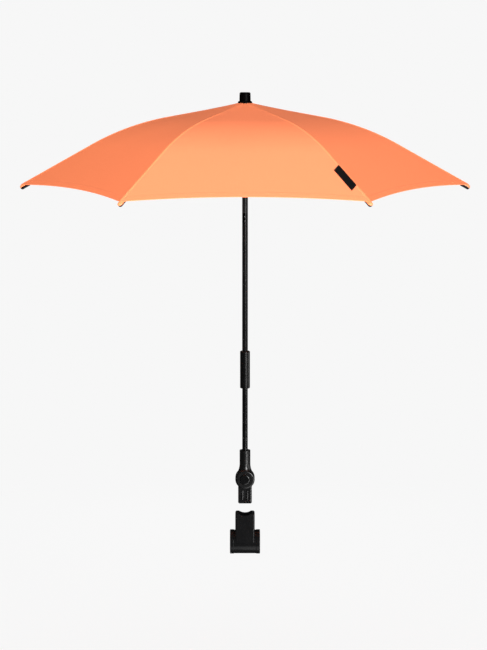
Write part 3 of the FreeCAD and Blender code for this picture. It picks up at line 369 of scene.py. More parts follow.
# Cap: a small black moulding at the very top, almost without gloss.
# It holds the washer and the canopy down on the crown.
cap_black = moulded_plastic(
    "cap_black", dark=(0.0007, 0.0007, 0.0008, 1.0), rubbed=(0.0015, 0.0015, 0.0016, 1.0),
    smooth=0.30, rough=0.40, grain_scale=1800.0, grain_depth=0.00001, gloss=0.02)
finish_node("ferrule_cap", cap_black)

# Ribs and stretchers: thin black fibre rods with a matt, slightly uneven skin.
# The ribs turn on the crown's pins. A stretcher is riveted to each rib, and a moulded cap closes its end.
fibre_rod = powder_coat(
    "fibre_rod", dark=(0.006, 0.006, 0.006, 1.0), worn=(0.012, 0.012, 0.012, 1.0),
    smooth=0.35, rough=0.55, gloss=0.06)
for rib in RIBS:
    finish_node(f"rib_{rib}", fibre_rod)
    finish_node(f"stretcher_{rib}", fibre_rod)
    finish_node(f"rib_tip_{rib}", knuckle_black)

# Canopy: six gores of thin orange polyester, seamed along the ribs and drawn tight over them.
# Each rib carries the halves of the two gores beside it. The hem is folded under and stitched.
HALF_SECTOR = math.pi / RIB_COUNT
ACROSS_SLOPE = math.tan(HALF_SECTOR)
APEX = 0.7025
CANOPY_RADIUS = 0.350
CROWN_SLOPE = math.radians(10.3)
HEM_SLOPE = math.radians(29.2)
INNER_STRAIGHT = 0.120
BEND_RADIUS = 0.385
BEND_END = INNER_STRAIGHT + BEND_RADIUS * (math.sin(HEM_SLOPE) - math.sin(CROWN_SLOPE))
SCALLOP = 0.009
SCALLOP_ROUNDS = 20
CANOPY_EYE = 0.0113
INNER_EDGE = CANOPY_EYE * math.cos(HALF_SECTOR)
FABRIC_THICKNESS = 0.0005
SIDE_NAMES = {1: "left", -1: "right"}


def rib_drop(radius):
    """How far the canopy has fallen at a radius along a rib: straight, arc, straight."""
    straight = min(radius, INNER_STRAIGHT) * math.tan(CROWN_SLOPE)
    if radius <= INNER_STRAIGHT:
        return straight
    reach = min(radius, BEND_END) - INNER_STRAIGHT
    slope = math.asin(math.sin(CROWN_SLOPE) + reach / BEND_RADIUS)
    arc = BEND_RADIUS * (math.cos(CROWN_SLOPE) - math.cos(slope))
    return straight + arc + max(radius - BEND_END, 0.0) * math.tan(HEM_SLOPE)


def hem_distance(share):
    """Distance from the pole, square to the hem, where the ray at a share of the half gore meets it.
    The share is 0 in the middle of the gore and 1 on the rib. Each round comes closer to the scallop."""
    chord = CANOPY_RADIUS * math.sin(HALF_SECTOR)
    side = CANOPY_RADIUS * math.cos(HALF_SECTOR)
    radius = (chord ** 2 + SCALLOP ** 2) / (2 * SCALLOP)
    distance = side
    for _ in range(SCALLOP_ROUNDS):
        across = share * distance * ACROSS_SLOPE
        distance = side - SCALLOP + radius - math.sqrt(radius ** 2 - across ** 2)
    return distance


def rib_turn(rib):
    """A rib's angle about the pole."""
    return (rib - 1) * 2 * HALF_SECTOR


def beside_rib(rib):
    """The level direction square to a rib, on its left."""
    return Vector((-math.sin(rib_turn(rib)), math.cos(rib_turn(rib)), 0.0))


def canopy_point(rib, side, share, distance, lift=0.0):
    """A point of the canopy's outside, on the half gore to one side of a rib."""
    middle = rib_turn(rib) + side * HALF_SECTOR
    along = Vector((math.cos(middle), math.sin(middle), 0.0))
    across = Vector((math.sin(middle), -math.cos(middle), 0.0)) * side
    point = along * distance + across * (share * distance * ACROSS_SLOPE)
    point.z = APEX - rib_drop(distance / math.cos(HALF_SECTOR)) + lift
    return point


def rib_line(rib, reach):
    """A point over a rib, at a share of the way from the crown to its tip."""
    return canopy_point(rib, 1, 1.0, INNER_EDGE + reach * (hem_distance(1.0) - INNER_EDGE))


# Each half gore is made in an upper and a lower length, and each length rides on its rib.
# The values are the reaches where a length starts and ends, its lean, skew and shift, and the share kept.
FOLD_SPLIT = 0.55
FOLDS = {
    "upper": (0.0, FOLD_SPLIT, math.radians(-15.7), math.radians(-0.3), 0.0028, 0.372),
    "lower": (FOLD_SPLIT, 1.0, math.radians(6.3), math.radians(1.75), 0.00025, 0.163),
}


def fold_with_rib(piece, rib, side, length):
    """Ride on the rib. An axis and an anchor are worked out from the length's values, but nothing uses them.
    """
    start, end, lean, skew, shift, keep = FOLDS[length]
    along = (rib_line(rib, end) - rib_line(rib, start)).normalized()
    sideways = beside_rib(rib) * side
    above = along.cross(sideways) * side
    axis = (sideways * math.cos(lean) - above * math.sin(lean)) * math.cos(skew) + along * math.sin(skew)
    anchor = rib_line(rib, (start + end) / 2) + axis * shift
    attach(piece, f"rib_{rib}")
    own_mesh(piece)


def plain_weave_group():
    """Plain weave on a map in metres: threads over and under each other, with slubs."""
    tree = bpy.data.node_groups.new("plain_weave", "ShaderNodeTree")
    group_input(tree, "Vector", "NodeSocketVector")
    group_input(tree, "Thread Pitch", "NodeSocketFloat", 0.0004)
    for name in ("Height", "Slub"):
        tree.interface.new_socket(name, in_out="OUTPUT", socket_type="NodeSocketFloat")
    source = tree.nodes.new("NodeGroupInput").outputs
    parts = tree.nodes.new("ShaderNodeSeparateXYZ")
    tree.links.new(source["Vector"], parts.inputs["Vector"])
    waves = []
    for axis in ("X", "Y"):
        turns = math_node(tree, "DIVIDE", parts.outputs[axis], source["Thread Pitch"])
        waves.append(math_node(tree, "SINE", math_node(tree, "MULTIPLY", turns, math.pi)))
    crossing = math_node(tree, "MULTIPLY", *waves)
    height = math_node(tree, "MULTIPLY_ADD", crossing, 0.5, 0.5)
    slubs = []
    for scale in ((40.0, 2500.0, 1.0), (2500.0, 40.0, 1.0)):
        slubs.append(noise(tree, stretch(tree, source["Vector"], scale), scale=1.0, detail=2.0))
    slub = math_node(tree, "MULTIPLY", math_node(tree, "ADD", *slubs), 0.5)
    sink = tree.nodes.new("NodeGroupOutput").inputs
    tree.links.new(height, sink["Height"])
    tree.links.new(slub, sink["Slub"])
    return tree


plain_weave = plain_weave_group()


def cloth(name, deep, pale, pitch, depth, roughness, gloss):
    """Woven cloth on a UV map in metres."""
    material, tree, shader = new_material(name)
    uv = tree.nodes.new("ShaderNodeUVMap")
    uv.uv_map = "cloth"
    weave = place_group(tree, plain_weave, uv.outputs["UV"], thread_pitch=pitch)
    tone = spread(tree, weave["Slub"], low=0.35, high=0.65)
    tree.links.new(mix_colour(tree, tone, deep, pale), shader.inputs["Base Color"])
    shader.inputs["Roughness"].default_value = roughness
    shader.inputs["Specular IOR Level"].default_value = gloss
    raise_bump(tree, shader, weave["Height"], depth, strength=0.5)
    return material


orange_cloth = cloth("orange_cloth", deep=(0.97, 0.229, 0.085, 1.0), pale=(1.0, 0.247, 0.095, 1.0),
                     pitch=0.0004, depth=0.00003, roughness=0.60, gloss=0.50)

# The cloth's small relief: long waves, the hem's fold, puckers beside the seams and gathers round the cap.
# Heights, widths, pitches and reaches are in metres, and the waves' run, slant, spread and shifts in radians.
WAVE_HEIGHT = 0.00055
WAVE_RUN = 9.0
WAVE_SLANT = 1.1
WAVE_SPREAD = 2.4
WAVE_SHIFT_ALONG = 1.9
WAVE_SHIFT_ACROSS = 0.8
HEM_WIDTH = 0.009
HEM_EDGE = 0.0012
HEM_RISE = 0.00030
HEM_LAYER = 0.0005
PUCKER_HEIGHT = 0.00022
PUCKER_PITCH = 0.021
PUCKER_DRIFT = 1.7
PUCKER_BEAT = 37
PUCKER_REACH = 0.010
PUCKER_START = 0.004
GATHER_HEIGHT = 0.0004
GATHER_COUNT = 3
GATHER_REACH = 0.010
CROWN_RISE = 0.0020
CROWN_REACH = 0.034


def smooth_step(value):
    """An S-shaped rise from 0 to 1, level at both ends."""
    value = min(max(value, 0.0), 1.0)
    return value * value * (3 - 2 * value)


def gore_wave(rib, side, share, distance):
    """Long shallow waves of a gore, that die away at its seams, at its hem and at the crown."""
    gore = rib if side > 0 else (rib - 2) % RIB_COUNT + 1
    across = -share if side > 0 else share
    reach = (distance - INNER_EDGE) / (hem_distance(0.0) - INNER_EDGE)
    wave = math.sin(reach * WAVE_RUN + WAVE_SHIFT_ALONG * gore + WAVE_SLANT * across)
    wave *= math.cos(WAVE_SPREAD * across + WAVE_SHIFT_ACROSS * gore)
    return WAVE_HEIGHT * wave * (1 - across ** 2) ** 2 * math.sin(math.pi * min(max(reach, 0.0), 1.0)) ** 2


def hem_fold(to_hem):
    """How far the cloth lies on the hem's fold, from 0 above it to 1 on it."""
    return smooth_step((HEM_WIDTH - to_hem) / HEM_EDGE)


def cloth_lift(share, distance, hem):
    """Small rises of the cloth: the hem's fold, and puckers along the seam and round the crown."""
    to_seam = (1 - share) * distance * ACROSS_SLOPE
    to_eye = distance - INNER_EDGE
    pucker = math.sin(distance * 2 * math.pi / PUCKER_PITCH + PUCKER_DRIFT * math.sin(distance * PUCKER_BEAT))
    gather = math.cos(share * math.pi * GATHER_COUNT)
    lift = HEM_RISE * hem_fold(hem - distance)
    lift += PUCKER_HEIGHT * pucker * math.exp(-to_seam / PUCKER_REACH) * smooth_step(to_seam / PUCKER_START)
    lift += GATHER_HEIGHT * gather * math.exp(-to_eye / GATHER_REACH)
    return lift + CROWN_RISE * math.exp(-to_eye / CROWN_REACH)


# The gores' meshes: rows of points from the crown to the hem, closer together at the crown and over the fold.
ACROSS_STEPS = 28
ALONG_STEPS = 40
CROWN_CROWDING = 1.1
HEM_STEPS = 12
HEM_MARGIN = 1.4
SLOPE_STEP = 0.0005
CLOTH_STRETCH = 1.06


def along_shares(length):
    """Shares along one length of a gore: even to the hem's fold, then close together over it."""
    start, end = FOLDS[length][:2]
    if length == "upper":
        return [end * (step / ALONG_STEPS) ** CROWN_CROWDING for step in range(ALONG_STEPS + 1)]
    fold = 1 - HEM_MARGIN * HEM_WIDTH / (hem_distance(0.0) - INNER_EDGE)
    shares = [start + (fold - start) * step / ALONG_STEPS for step in range(ALONG_STEPS + 1)]
    return shares + [fold + (end - fold) * step / HEM_STEPS for step in range(1, HEM_STEPS + 1)]


def gore_normal(rib, side, distance):
    """The outward normal of a gore at a distance from the pole."""
    middle = rib_turn(rib) + side * HALF_SECTOR
    near = rib_drop((distance - SLOPE_STEP) / math.cos(HALF_SECTOR))
    far = rib_drop((distance + SLOPE_STEP) / math.cos(HALF_SECTOR))
    slope = math.atan2(far - near, 2 * SLOPE_STEP)
    out = math.sin(slope)
    return Vector((out * math.cos(middle), out * math.sin(middle), math.cos(slope)))


def close_sheet(shape, top, under):
    """Faces of a thin closed sheet between two grids, with its four edges kept crisp."""
    rows, columns = len(top), len(top[0])
    quads = []
    for i in range(rows - 1):
        for j in range(columns - 1):
            quads.append([top[i][j], top[i + 1][j], top[i + 1][j + 1], top[i][j + 1]])
            quads.append([under[i][j + 1], under[i + 1][j + 1], under[i + 1][j], under[i][j]])
    rims = []
    for i in range(rows - 1):
        for j, flip in ((0, False), (columns - 1, True)):
            rim = [top[i][j], under[i][j], under[i + 1][j], top[i + 1][j]]
            rims.append(rim[::-1] if flip else rim)
    for j in range(columns - 1):
        for i, flip in ((0, True), (rows - 1, False)):
            rim = [top[i][j], under[i][j], under[i][j + 1], top[i][j + 1]]
            rims.append(rim[::-1] if flip else rim)
    for corners in quads:
        shape.faces.new(corners).smooth = True
    for corners in rims:
        face = shape.faces.new(corners)
        for edge in face.edges:
            edge.smooth = False
    bmesh.ops.recalc_face_normals(shape, faces=shape.faces)


def thin_sheet(rows):
    """A closed sheet with its UV map in metres.
    A row holds pairs, for the outside and the inside, of a point and its place on the flat cloth."""
    shape = bmesh.new()
    uv = shape.loops.layers.uv.new("cloth")
    flat = {}
    top, under = [], []
    for row in rows:
        outside, inside = zip(*row)
        for grid, spots in ((top, outside), (under, inside)):
            line = []
            for point, place in spots:
                vertex = shape.verts.new(point)
                flat[vertex] = place
                line.append(vertex)
            grid.append(line)
    close_sheet(shape, top, under)
    for face in shape.faces:
        for loop in face.loops:
            loop[uv].uv = flat[loop.vert]
    return shape


def gore_half(rib, side, length):
    """One length of a half gore as a thin sheet, and its area."""
    rows = []
    for reach in along_shares(length):
        row = []
        for step in range(ACROSS_STEPS + 1):
            share = step / ACROSS_STEPS
            hem = hem_distance(share)
            distance = INNER_EDGE + reach * (hem - INNER_EDGE)
            lift = cloth_lift(share, distance, hem) + gore_wave(rib, side, share, distance)
            outside = canopy_point(rib, side, share, distance, lift)
            wall = FABRIC_THICKNESS + HEM_LAYER * hem_fold(hem - distance)
            inside = outside - gore_normal(rib, side, distance) * wall
            place = (side * share * distance * ACROSS_SLOPE, distance * CLOTH_STRETCH)
            row.append(((outside, place), (inside, place)))
        rows.append(row)
    shape = thin_sheet(rows)
    area = sum(face.calc_area() for face in shape.faces) / 2
    return keep_shape(shape, f"canopy_{length}_{rib}_{SIDE_NAMES[side]}", orange_cloth), area


for rib in RIBS:
    for side in SIDE_NAMES:
        for length in FOLDS:
            half, area = gore_half(rib, side, length)
            fold_with_rib(half, rib, side, length)
            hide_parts(f"canopy_panel_{rib}")

# Seams: the gores are joined along each rib in a flat-felled seam, a narrow rounded ridge of four layers.
# Two rows of polyester thread run along it. It lies on the rib and folds with it.
# The profile gives offsets from the rib's line and heights over the cloth.
SEAM_PROFILE = ((0.0, 0.00050), (0.0010, 0.00047), (0.0018, 0.00036), (0.0023, 0.00016), (0.0026, -0.00012))
SEAM_START = 0.0125
SEAM_END = 0.3475
SEAM_STEPS = 150
SEAM_DEPTH = 0.0004
SEAM_PULL = 0.00006
SEAM_ROW = 0.0011
SEAM_ROW_LIFT = 0.00047
SEAM_ROW_START = 0.004
SEAM_ROW_SHORTER = 0.012
SEAM_ROW_STEPS = 120
STITCH_PITCH = 0.0030
STITCH_LENGTH = 0.0024
STITCH_SIDES = 6
STITCH_RINGS = 4
THREAD_RADIUS = 0.00016

# The seam's cloth is painted a little paler than the gores: a painted highlight along the ridge, where its
# rounded edge catches the light.
seam_cloth = cloth("seam_cloth", deep=(0.98, 0.255, 0.098, 1.0), pale=(1.0, 0.278, 0.112, 1.0),
                   pitch=0.0004, depth=0.00003, roughness=0.62, gloss=0.15)


def seam_spot(rib, side, radius, offset, lift):
    """A point beside the ridge over a rib, on the gore to one side of it."""
    distance = radius * math.cos(HALF_SECTOR)
    share = 1 - offset / (distance * ACROSS_SLOPE)
    return canopy_point(rib, side, share, distance, lift)


def seam_ridge(rib):
    """One seam's ridge, drawn in a little at each stitch."""
    spots = [(1, offset, lift) for offset, lift in reversed(SEAM_PROFILE)]
    spots += [(-1, offset, lift) for offset, lift in SEAM_PROFILE[1:]]
    rows = []
    for step in range(SEAM_STEPS + 1):
        radius = SEAM_START + (SEAM_END - SEAM_START) * step / SEAM_STEPS
        pull = SEAM_PULL * math.sin(radius * 2 * math.pi / STITCH_PITCH)
        row = []
        for side, offset, lift in spots:
            place = (side * offset, radius)
            row.append(((seam_spot(rib, side, radius, offset, lift + pull), place),
                        (seam_spot(rib, side, radius, offset, -SEAM_DEPTH), place)))
        rows.append(row)
    return keep_shape(thin_sheet(rows), f"seam_{rib}", seam_cloth)


def stitch_row_tree():
    """Geometry nodes: short plump stitches, one after another, along a line of edges."""
    tree = bpy.data.node_groups.new("stitch_row", "GeometryNodeTree")
    tree.interface.new_socket("Line", in_out="INPUT", socket_type="NodeSocketGeometry")
    for name in ("Pitch", "Stitch Length", "Thread Radius"):
        tree.interface.new_socket(name, in_out="INPUT", socket_type="NodeSocketFloat")
    tree.interface.new_socket("Thread", in_out="INPUT", socket_type="NodeSocketMaterial")
    tree.interface.new_socket("Stitches", in_out="OUTPUT", socket_type="NodeSocketGeometry")
    source = tree.nodes.new("NodeGroupInput").outputs
    curve = tree.nodes.new("GeometryNodeMeshToCurve")
    points = tree.nodes.new("GeometryNodeCurveToPoints")
    points.mode = "LENGTH"
    ball = tree.nodes.new("GeometryNodeMeshUVSphere")
    ball.inputs["Segments"].default_value = STITCH_SIDES
    ball.inputs["Rings"].default_value = STITCH_RINGS
    half_length = math_node(tree, "MULTIPLY", source["Stitch Length"], 0.5)
    size = tree.nodes.new("ShaderNodeCombineXYZ")
    shaped = tree.nodes.new("GeometryNodeTransform")
    placed = tree.nodes.new("GeometryNodeInstanceOnPoints")
    solid = tree.nodes.new("GeometryNodeRealizeInstances")
    smooth = tree.nodes.new("GeometryNodeSetShadeSmooth")
    painted = tree.nodes.new("GeometryNodeSetMaterial")
    sink = tree.nodes.new("NodeGroupOutput").inputs
    links = (
        (source["Line"], curve.inputs["Mesh"]),
        (curve.outputs["Curve"], points.inputs["Curve"]),
        (source["Pitch"], points.inputs["Length"]),
        (source["Thread Radius"], size.inputs["X"]),
        (source["Thread Radius"], size.inputs["Y"]),
        (half_length, size.inputs["Z"]),
        (ball.outputs["Mesh"], shaped.inputs["Geometry"]),
        (size.outputs["Vector"], shaped.inputs["Scale"]),
        (points.outputs["Points"], placed.inputs["Points"]),
        (points.outputs["Rotation"], placed.inputs["Rotation"]),
        (shaped.outputs["Geometry"], placed.inputs["Instance"]),
        (placed.outputs["Instances"], solid.inputs["Geometry"]),
        (solid.outputs["Geometry"], smooth.inputs["Geometry"]),
        (smooth.outputs["Geometry"], painted.inputs["Geometry"]),
        (source["Thread"], painted.inputs["Material"]),
        (painted.outputs["Geometry"], sink["Stitches"]),
    )
    for output, target in links:
        tree.links.new(output, target)
    return tree


stitch_row = stitch_row_tree()


def set_inputs(modifier, **values):
    """Set a tree's inputs by their identifiers."""
    for item in modifier.node_group.interface.items_tree:
        key = item.name.replace(" ", "_").lower()
        if item.in_out == "INPUT" and key in values:
            modifier[item.identifier] = values[key]


def bake_nodes(piece):
    """Replace a piece's mesh by what its node tree makes, and drop the modifier."""
    bpy.context.view_layer.update()
    made = piece.evaluated_get(bpy.context.evaluated_depsgraph_get())
    mesh = bpy.data.meshes.new_from_object(made)
    piece.modifiers.clear()
    piece.data = mesh
    return piece


def sew(name, lines, thread, pitch=STITCH_PITCH, length=STITCH_LENGTH, radius=THREAD_RADIUS):
    """Rows of stitches along lines of points."""
    points, edges = [], []
    for line in lines:
        first = len(points)
        points += [tuple(point) for point in line]
        edges += [(i, i + 1) for i in range(first, len(points) - 1)]
    mesh = bpy.data.meshes.new(name)
    mesh.from_pydata(points, edges, [])
    piece = bpy.data.objects.new(name, mesh)
    bpy.context.scene.collection.objects.link(piece)
    modifier = piece.modifiers.new("stitches", "NODES")
    modifier.node_group = stitch_row
    set_inputs(modifier, pitch=pitch, stitch_length=length, thread_radius=radius, thread=thread)
    return bake_nodes(piece)


def thread_material(name, colour, pale):
    """Twisted polyester thread: fine slanting lines and a soft gloss."""
    material, tree, shader = new_material(name)
    wave = tree.nodes.new("ShaderNodeTexWave")
    wave.inputs["Scale"].default_value = 2600.0
    wave.bands_direction = "DIAGONAL"
    tree.links.new(object_coordinates(tree), wave.inputs["Vector"])
    tree.links.new(mix_colour(tree, wave.outputs["Fac"], colour, pale), shader.inputs["Base Color"])
    shader.inputs["Roughness"].default_value = 0.5
    raise_bump(tree, shader, wave.outputs["Fac"], distance=0.00003)
    return material


orange_thread = thread_material("orange_thread", colour=(0.97, 0.26, 0.105, 1.0), pale=(1.0, 0.31, 0.14, 1.0))



def seam_row(rib, side):
    """The line of stitches on one side of a seam's ridge."""
    row_length = SEAM_END - SEAM_START - SEAM_ROW_SHORTER
    spots = []
    for step in range(SEAM_ROW_STEPS + 1):
        radius = SEAM_START + SEAM_ROW_START + row_length * step / SEAM_ROW_STEPS
        spots.append(seam_spot(rib, side, radius, SEAM_ROW, SEAM_ROW_LIFT))
    return spots


for rib in RIBS:
    ridge = seam_ridge(rib)
    rows = [seam_row(rib, side) for side in SIDE_NAMES]
    stitches = sew(f"seam_stitches_{rib}", rows, orange_thread)
    for piece in (ridge, stitches):
        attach(piece, f"rib_{rib}")

# Corners: a small pocket of the same cloth lies over each rib's end cap and leaves its lower half bare.
# Bar tacks across the seam tie the pocket to the canopy.
# TIP values are the cap's sizes, and POCKET_END gives the pocket's last reaches as shares of its flat end.
TIP_RADIUS = 0.0034
TIP_ROUND = 0.0024
TIP_DEPTH = 0.00465
TIP_PAST = 0.0031
TIP_RUN = 0.9
POCKET_LENGTH = 0.0120
POCKET_TURN = math.radians(80)
POCKET_STEPS = 24
POCKET_ROWS = 6
POCKET_GAP = 0.00015
POCKET_WALL = 0.00035
POCKET_END = (0.5, 0.1)
TACK_RADII = (0.3300, 0.3318, 0.3336)
TACK_REACH = 0.0042
TACK_STEPS = 6
TACK_LIFT = 0.00058
TACK_TOP = 0.00066


def pocket_profile(offset):
    """Places along the cap and reaches from its axis, for a surface an offset outside the cap."""
    shoulder = TIP_PAST - TIP_ROUND
    flat = TIP_RADIUS - TIP_ROUND
    bend = TIP_ROUND + offset
    places = []
    for step in range(POCKET_ROWS + 1):
        places.append((-POCKET_LENGTH + (shoulder + POCKET_LENGTH) * step / POCKET_ROWS, TIP_RADIUS + offset))
    for step in range(1, POCKET_ROWS + 1):
        turn = math.pi / 2 * step / POCKET_ROWS
        places.append((shoulder + bend * math.sin(turn), flat + bend * math.cos(turn)))
    return places + [(TIP_PAST + offset, share * flat) for share in POCKET_END]


def corner_pocket(rib):
    """A thin closed pocket over the upper side and the end of a cap, in line with the rib's last tenth."""
    corner = rib_line(rib, 1.0)
    along = (corner - rib_line(rib, TIP_RUN)).normalized()
    aside = beside_rib(rib)
    up = along.cross(aside)
    rows = []
    for outside, inside in zip(pocket_profile(POCKET_GAP + POCKET_WALL), pocket_profile(POCKET_GAP)):
        row = []
        for step in range(POCKET_STEPS + 1):
            turn = POCKET_TURN * (2 * step / POCKET_STEPS - 1)
            outward = up * math.cos(turn) + aside * math.sin(turn)
            pair = []
            for place, reach in (outside, inside):
                spot = corner + along * place - up * TIP_DEPTH + outward * reach
                pair.append((spot, (turn * TIP_RADIUS, place)))
            row.append(pair)
        rows.append(row)
    return keep_shape(thin_sheet(rows), f"corner_pocket_{rib}", orange_cloth)


def tack_row(rib, radius):
    """A line across the seam, from one gore over the ridge to the other."""
    reaches = [TACK_REACH * step / TACK_STEPS for step in range(TACK_STEPS, 0, -1)]
    left = [seam_spot(rib, 1, radius, offset, TACK_LIFT) for offset in reaches]
    right = [seam_spot(rib, -1, radius, offset, TACK_LIFT) for offset in reversed(reaches)]
    return left + [seam_spot(rib, 1, radius, 0.0, TACK_TOP)] + right


def corner_tacks(rib):
    """The bar tacks of one corner, in a thicker thread with close stitches."""
    rows = [tack_row(rib, radius) for radius in TACK_RADII]
    return sew(f"corner_tacks_{rib}", rows, orange_thread, pitch=0.0009, length=0.0016, radius=0.00022)


for make_piece in (corner_pocket, corner_tacks):
    for rib in RIBS:
        piece = make_piece(rib)
        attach(piece, f"rib_{rib}")

# Hem: the canopy's edge, folded under once.
# One row of orange stitches holds the fold, a little above the edge, from seam to seam.
HEM_ROW = 0.0072
HEM_ROW_SHARE = 0.985
HEM_ROW_STEPS = 60
HEM_ROW_LIFT = 0.00006
for rib in RIBS:
    for side in SIDE_NAMES:
        row = []
        for step in range(HEM_ROW_STEPS + 1):
            share = HEM_ROW_SHARE * step / HEM_ROW_STEPS
            hem = hem_distance(share)
            lift = cloth_lift(share, hem - HEM_ROW, hem) + HEM_ROW_LIFT
            row.append(canopy_point(rib, side, share, hem - HEM_ROW, lift))
        stitches = sew(f"hem_stitches_{rib}_{SIDE_NAMES[side]}", [row], orange_thread)
        fold_with_rib(stitches, rib, side, "lower")

# Label: a small tag of black woven tape with slanting cut ends, left bare.
# It lies flat beside the right front seam, sewn down at both ends.
LABEL_RIB = 6
LABEL_SIDE = -1
LABEL_START = 0.268
LABEL_LENGTH = 0.046
LABEL_GAP = 0.0006
LABEL_WIDTH = 0.0115
LABEL_SLANT = 0.0056
LABEL_LIFT = 0.0009
LABEL_WALL = 0.0005
LABEL_DOME = 0.00025
LABEL_DOME_EDGE = 0.006
LABEL_ROWS = 40
LABEL_COLUMNS = 12
LABEL_INSET = 0.0016
LABEL_MARGIN = 0.0008
LABEL_ROW_STEPS = 8
LABEL_ROW_LIFT = 0.0001
black_tape = cloth("black_tape", deep=(0.003, 0.003, 0.003, 1.0), pale=(0.006, 0.006, 0.006, 1.0),
                   pitch=0.0006, depth=0.00008, roughness=0.85, gloss=0.05)
black_thread = thread_material(
    "black_thread", colour=(0.006, 0.006, 0.006, 1.0), pale=(0.020, 0.020, 0.020, 1.0))


def label_spot(along, across, lift):
    """A point over the front gore, measured along the seam and away from it. The tag's ends slant."""
    along += LABEL_SLANT * (across - LABEL_GAP) / LABEL_WIDTH
    distance = along * math.cos(HALF_SECTOR) + across * math.sin(HALF_SECTOR)
    offset = along * math.sin(HALF_SECTOR) - across * math.cos(HALF_SECTOR)
    return canopy_point(LABEL_RIB, LABEL_SIDE, offset / (distance * ACROSS_SLOPE), distance, lift)


def make_label():
    """The tag as a thin sheet, a little domed between its sewn ends."""
    rows = []
    for i in range(LABEL_ROWS + 1):
        along = LABEL_START + LABEL_LENGTH * i / LABEL_ROWS
        edge = min(i, LABEL_ROWS - i) / LABEL_ROWS * LABEL_LENGTH
        row = []
        for j in range(LABEL_COLUMNS + 1):
            across = LABEL_GAP + LABEL_WIDTH * j / LABEL_COLUMNS
            dome = LABEL_DOME * math.sin(math.pi * j / LABEL_COLUMNS) * smooth_step(edge / LABEL_DOME_EDGE)
            lift = LABEL_LIFT + dome
            place = (across, along)
            row.append(((label_spot(along, across, lift), place),
                        (label_spot(along, across, lift - LABEL_WALL), place)))
        rows.append(row)
    return keep_shape(thin_sheet(rows), "label", black_tape)


def label_row(along):
    """A line across the tag, just inside its long edges."""
    spots = []
    for step in range(LABEL_ROW_STEPS + 1):
        across = LABEL_GAP + LABEL_MARGIN + (LABEL_WIDTH - 2 * LABEL_MARGIN) * step / LABEL_ROW_STEPS
        spots.append(label_spot(along, across, LABEL_LIFT + LABEL_ROW_LIFT))
    return spots


label = make_label()
label_ends = (LABEL_START + LABEL_INSET, LABEL_START + LABEL_LENGTH - LABEL_INSET)
label_stitches = sew("label_stitches", [label_row(along) for along in label_ends], black_thread,
                     pitch=0.0020, length=0.0017)
for piece in (label, label_stitches):
    fold_with_rib(piece, LABEL_RIB, LABEL_SIDE, "lower")
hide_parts("canopy_label")

# Studio: a pale floor well below the clip and a pale surround, lit by large soft lamps.
# The floor takes the shadow near the object and melts into the surround further off.
BACKDROP = (0.930, 0.930, 0.930, 1.0)
FLOOR_COLOUR = (0.90, 0.90, 0.90, 1.0)
FLOOR_HEIGHT = -0.30
FLOOR_HALF = 15.0
SHADOW_NEAR = 0.5
SHADOW_FAR = 1.6
SHADOW_VEIL = 0.88
SURROUND_LIGHT = 0.25
SURROUND_GLOSS = 0.06


def backdrop_material():
    """The floor's own shading, veiled by the surround's colour where the camera sees it."""
    material, tree, shader = new_material("pale_floor")
    shader.inputs["Base Color"].default_value = FLOOR_COLOUR
    shader.inputs["Roughness"].default_value = 0.9
    path = tree.nodes.new("ShaderNodeLightPath")
    glow = tree.nodes.new("ShaderNodeEmission")
    glow.inputs["Color"].default_value = BACKDROP
    seen = math_node(tree, "MAXIMUM", path.outputs["Is Camera Ray"], path.outputs["Is Transmission Ray"])
    reach = tree.nodes.new("ShaderNodeVectorMath")
    reach.operation = "LENGTH"
    tree.links.new(object_coordinates(tree), reach.inputs[0])
    veil = spread(tree, reach.outputs["Value"], SHADOW_NEAR, SHADOW_FAR, SHADOW_VEIL, 1.0)
    mix = tree.nodes.new("ShaderNodeMixShader")
    tree.links.new(math_node(tree, "MULTIPLY", seen, veil), mix.inputs["Fac"])
    tree.links.new(shader.outputs["BSDF"], mix.inputs[1])
    tree.links.new(glow.outputs["Emission"], mix.inputs[2])
    tree.links.new(mix.outputs["Shader"], tree.nodes["Material Output"].inputs["Surface"])
    return material


floor_sides = ((-1, -1), (1, -1), (1, 1), (-1, 1))
floor_corners = [(x * FLOOR_HALF, y * FLOOR_HALF, FLOOR_HEIGHT) for x, y in floor_sides]
floor_mesh = bpy.data.meshes.new("floor")
floor_mesh.from_pydata(floor_corners, [], [(0, 1, 2, 3)])
floor_mesh.materials.append(backdrop_material())
floor = bpy.data.objects.new("floor", floor_mesh)
bpy.context.scene.collection.objects.link(floor)
floor.visible_glossy = False

world = bpy.data.worlds.new("surround")
bpy.context.scene.world = world
world.use_nodes = True
sky = world.node_tree
surround = sky.nodes["Background"]
surround.inputs["Color"].default_value = BACKDROP
sky_path = sky.nodes.new("ShaderNodeLightPath")
unseen_strength = spread(sky, sky_path.outputs["Is Glossy Ray"], 0.0, 1.0, SURROUND_LIGHT, SURROUND_GLOSS)
surround_strength = spread(sky, sky_path.outputs["Is Camera Ray"], 0.0, 1.0, unseen_strength, 1.0)
sky.links.new(surround_strength, surround.inputs["Strength"])


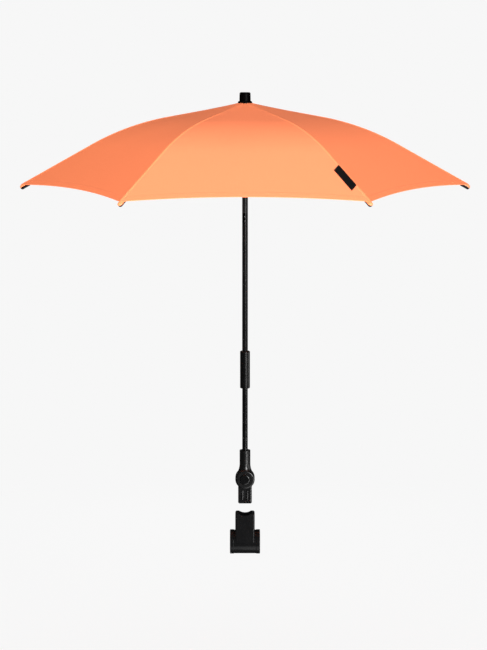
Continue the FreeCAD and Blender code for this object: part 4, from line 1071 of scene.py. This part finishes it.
def soft_lamp(name, place, target, size, power):
    """A round area lamp that faces its target."""
    data = bpy.data.lights.new(name, "AREA")
    data.shape = "DISK"
    data.size = size
    data.energy = power
    lamp = bpy.data.objects.new(name, data)
    lamp.location = place
    lamp.rotation_euler = (Vector(target) - Vector(place)).to_track_quat("-Z", "Y").to_euler()
    bpy.context.scene.collection.objects.link(lamp)
    return lamp


MIDDLE = (0.0, 0.0, 0.45)
soft_lamp("right_lamp", place=(1.45, -2.75, 0.55), target=MIDDLE, size=1.3, power=117.0)
left_lamp = soft_lamp("left_lamp", place=(-1.45, -2.75, 0.55), target=MIDDLE, size=1.3, power=95.0)
soft_lamp("top_lamp", place=(0.0, -0.2, 2.6), target=(0.0, 0.0, 0.6), size=1.6, power=19.0)
soft_lamp("side_lamp", place=(2.4, -0.1, 0.05), target=(0.0, 0.0, 0.15), size=0.7, power=10.0)
back_lamp = soft_lamp("back_lamp", place=(0.0, 3.0, 0.55), target=MIDDLE, size=1.2, power=80.0)
for lamp in (left_lamp, back_lamp):
    lamp.visible_glossy = False
gleam_lamp = soft_lamp(
    "gleam_lamp", place=(0.70, -0.75, -0.27), target=(0.0, 0.0, 0.12), size=0.40, power=6.0)
floor_lamp = soft_lamp(
    "floor_lamp", place=(0.20, -0.26, -0.29), target=(0.20, -0.26, 0.0), size=0.50, power=2.3)
for lamp in (gleam_lamp, floor_lamp):
    lamp.visible_diffuse = False
    lamp.visible_camera = False

# Camera: in front, a little above the canopy's top and tipped down, with a long lens, as in the photograph.
# The sensor's width spans the picture's longer side, which is its height.
CAMERA_DISTANCE = 2.730
CAMERA_HEIGHT = 0.7895
CAMERA_SIDE = -0.0024
CAMERA_PITCH = math.radians(9.07)
FOCAL_PIXELS = 1747.0
FRAME_HEIGHT = 650
SENSOR_WIDTH = 36.0
camera_data = bpy.data.cameras.new("camera")
camera_data.sensor_width = SENSOR_WIDTH
camera_data.lens = FOCAL_PIXELS * SENSOR_WIDTH / FRAME_HEIGHT
camera = bpy.data.objects.new("camera", camera_data)
camera.location = (CAMERA_SIDE, -CAMERA_DISTANCE, CAMERA_HEIGHT)
camera.rotation_euler = Euler((math.pi / 2 - CAMERA_PITCH, 0.0, 0.0))
bpy.context.scene.collection.objects.link(camera)
bpy.context.scene.camera = camera
bpy.context.scene.view_settings.view_transform = "Standard"
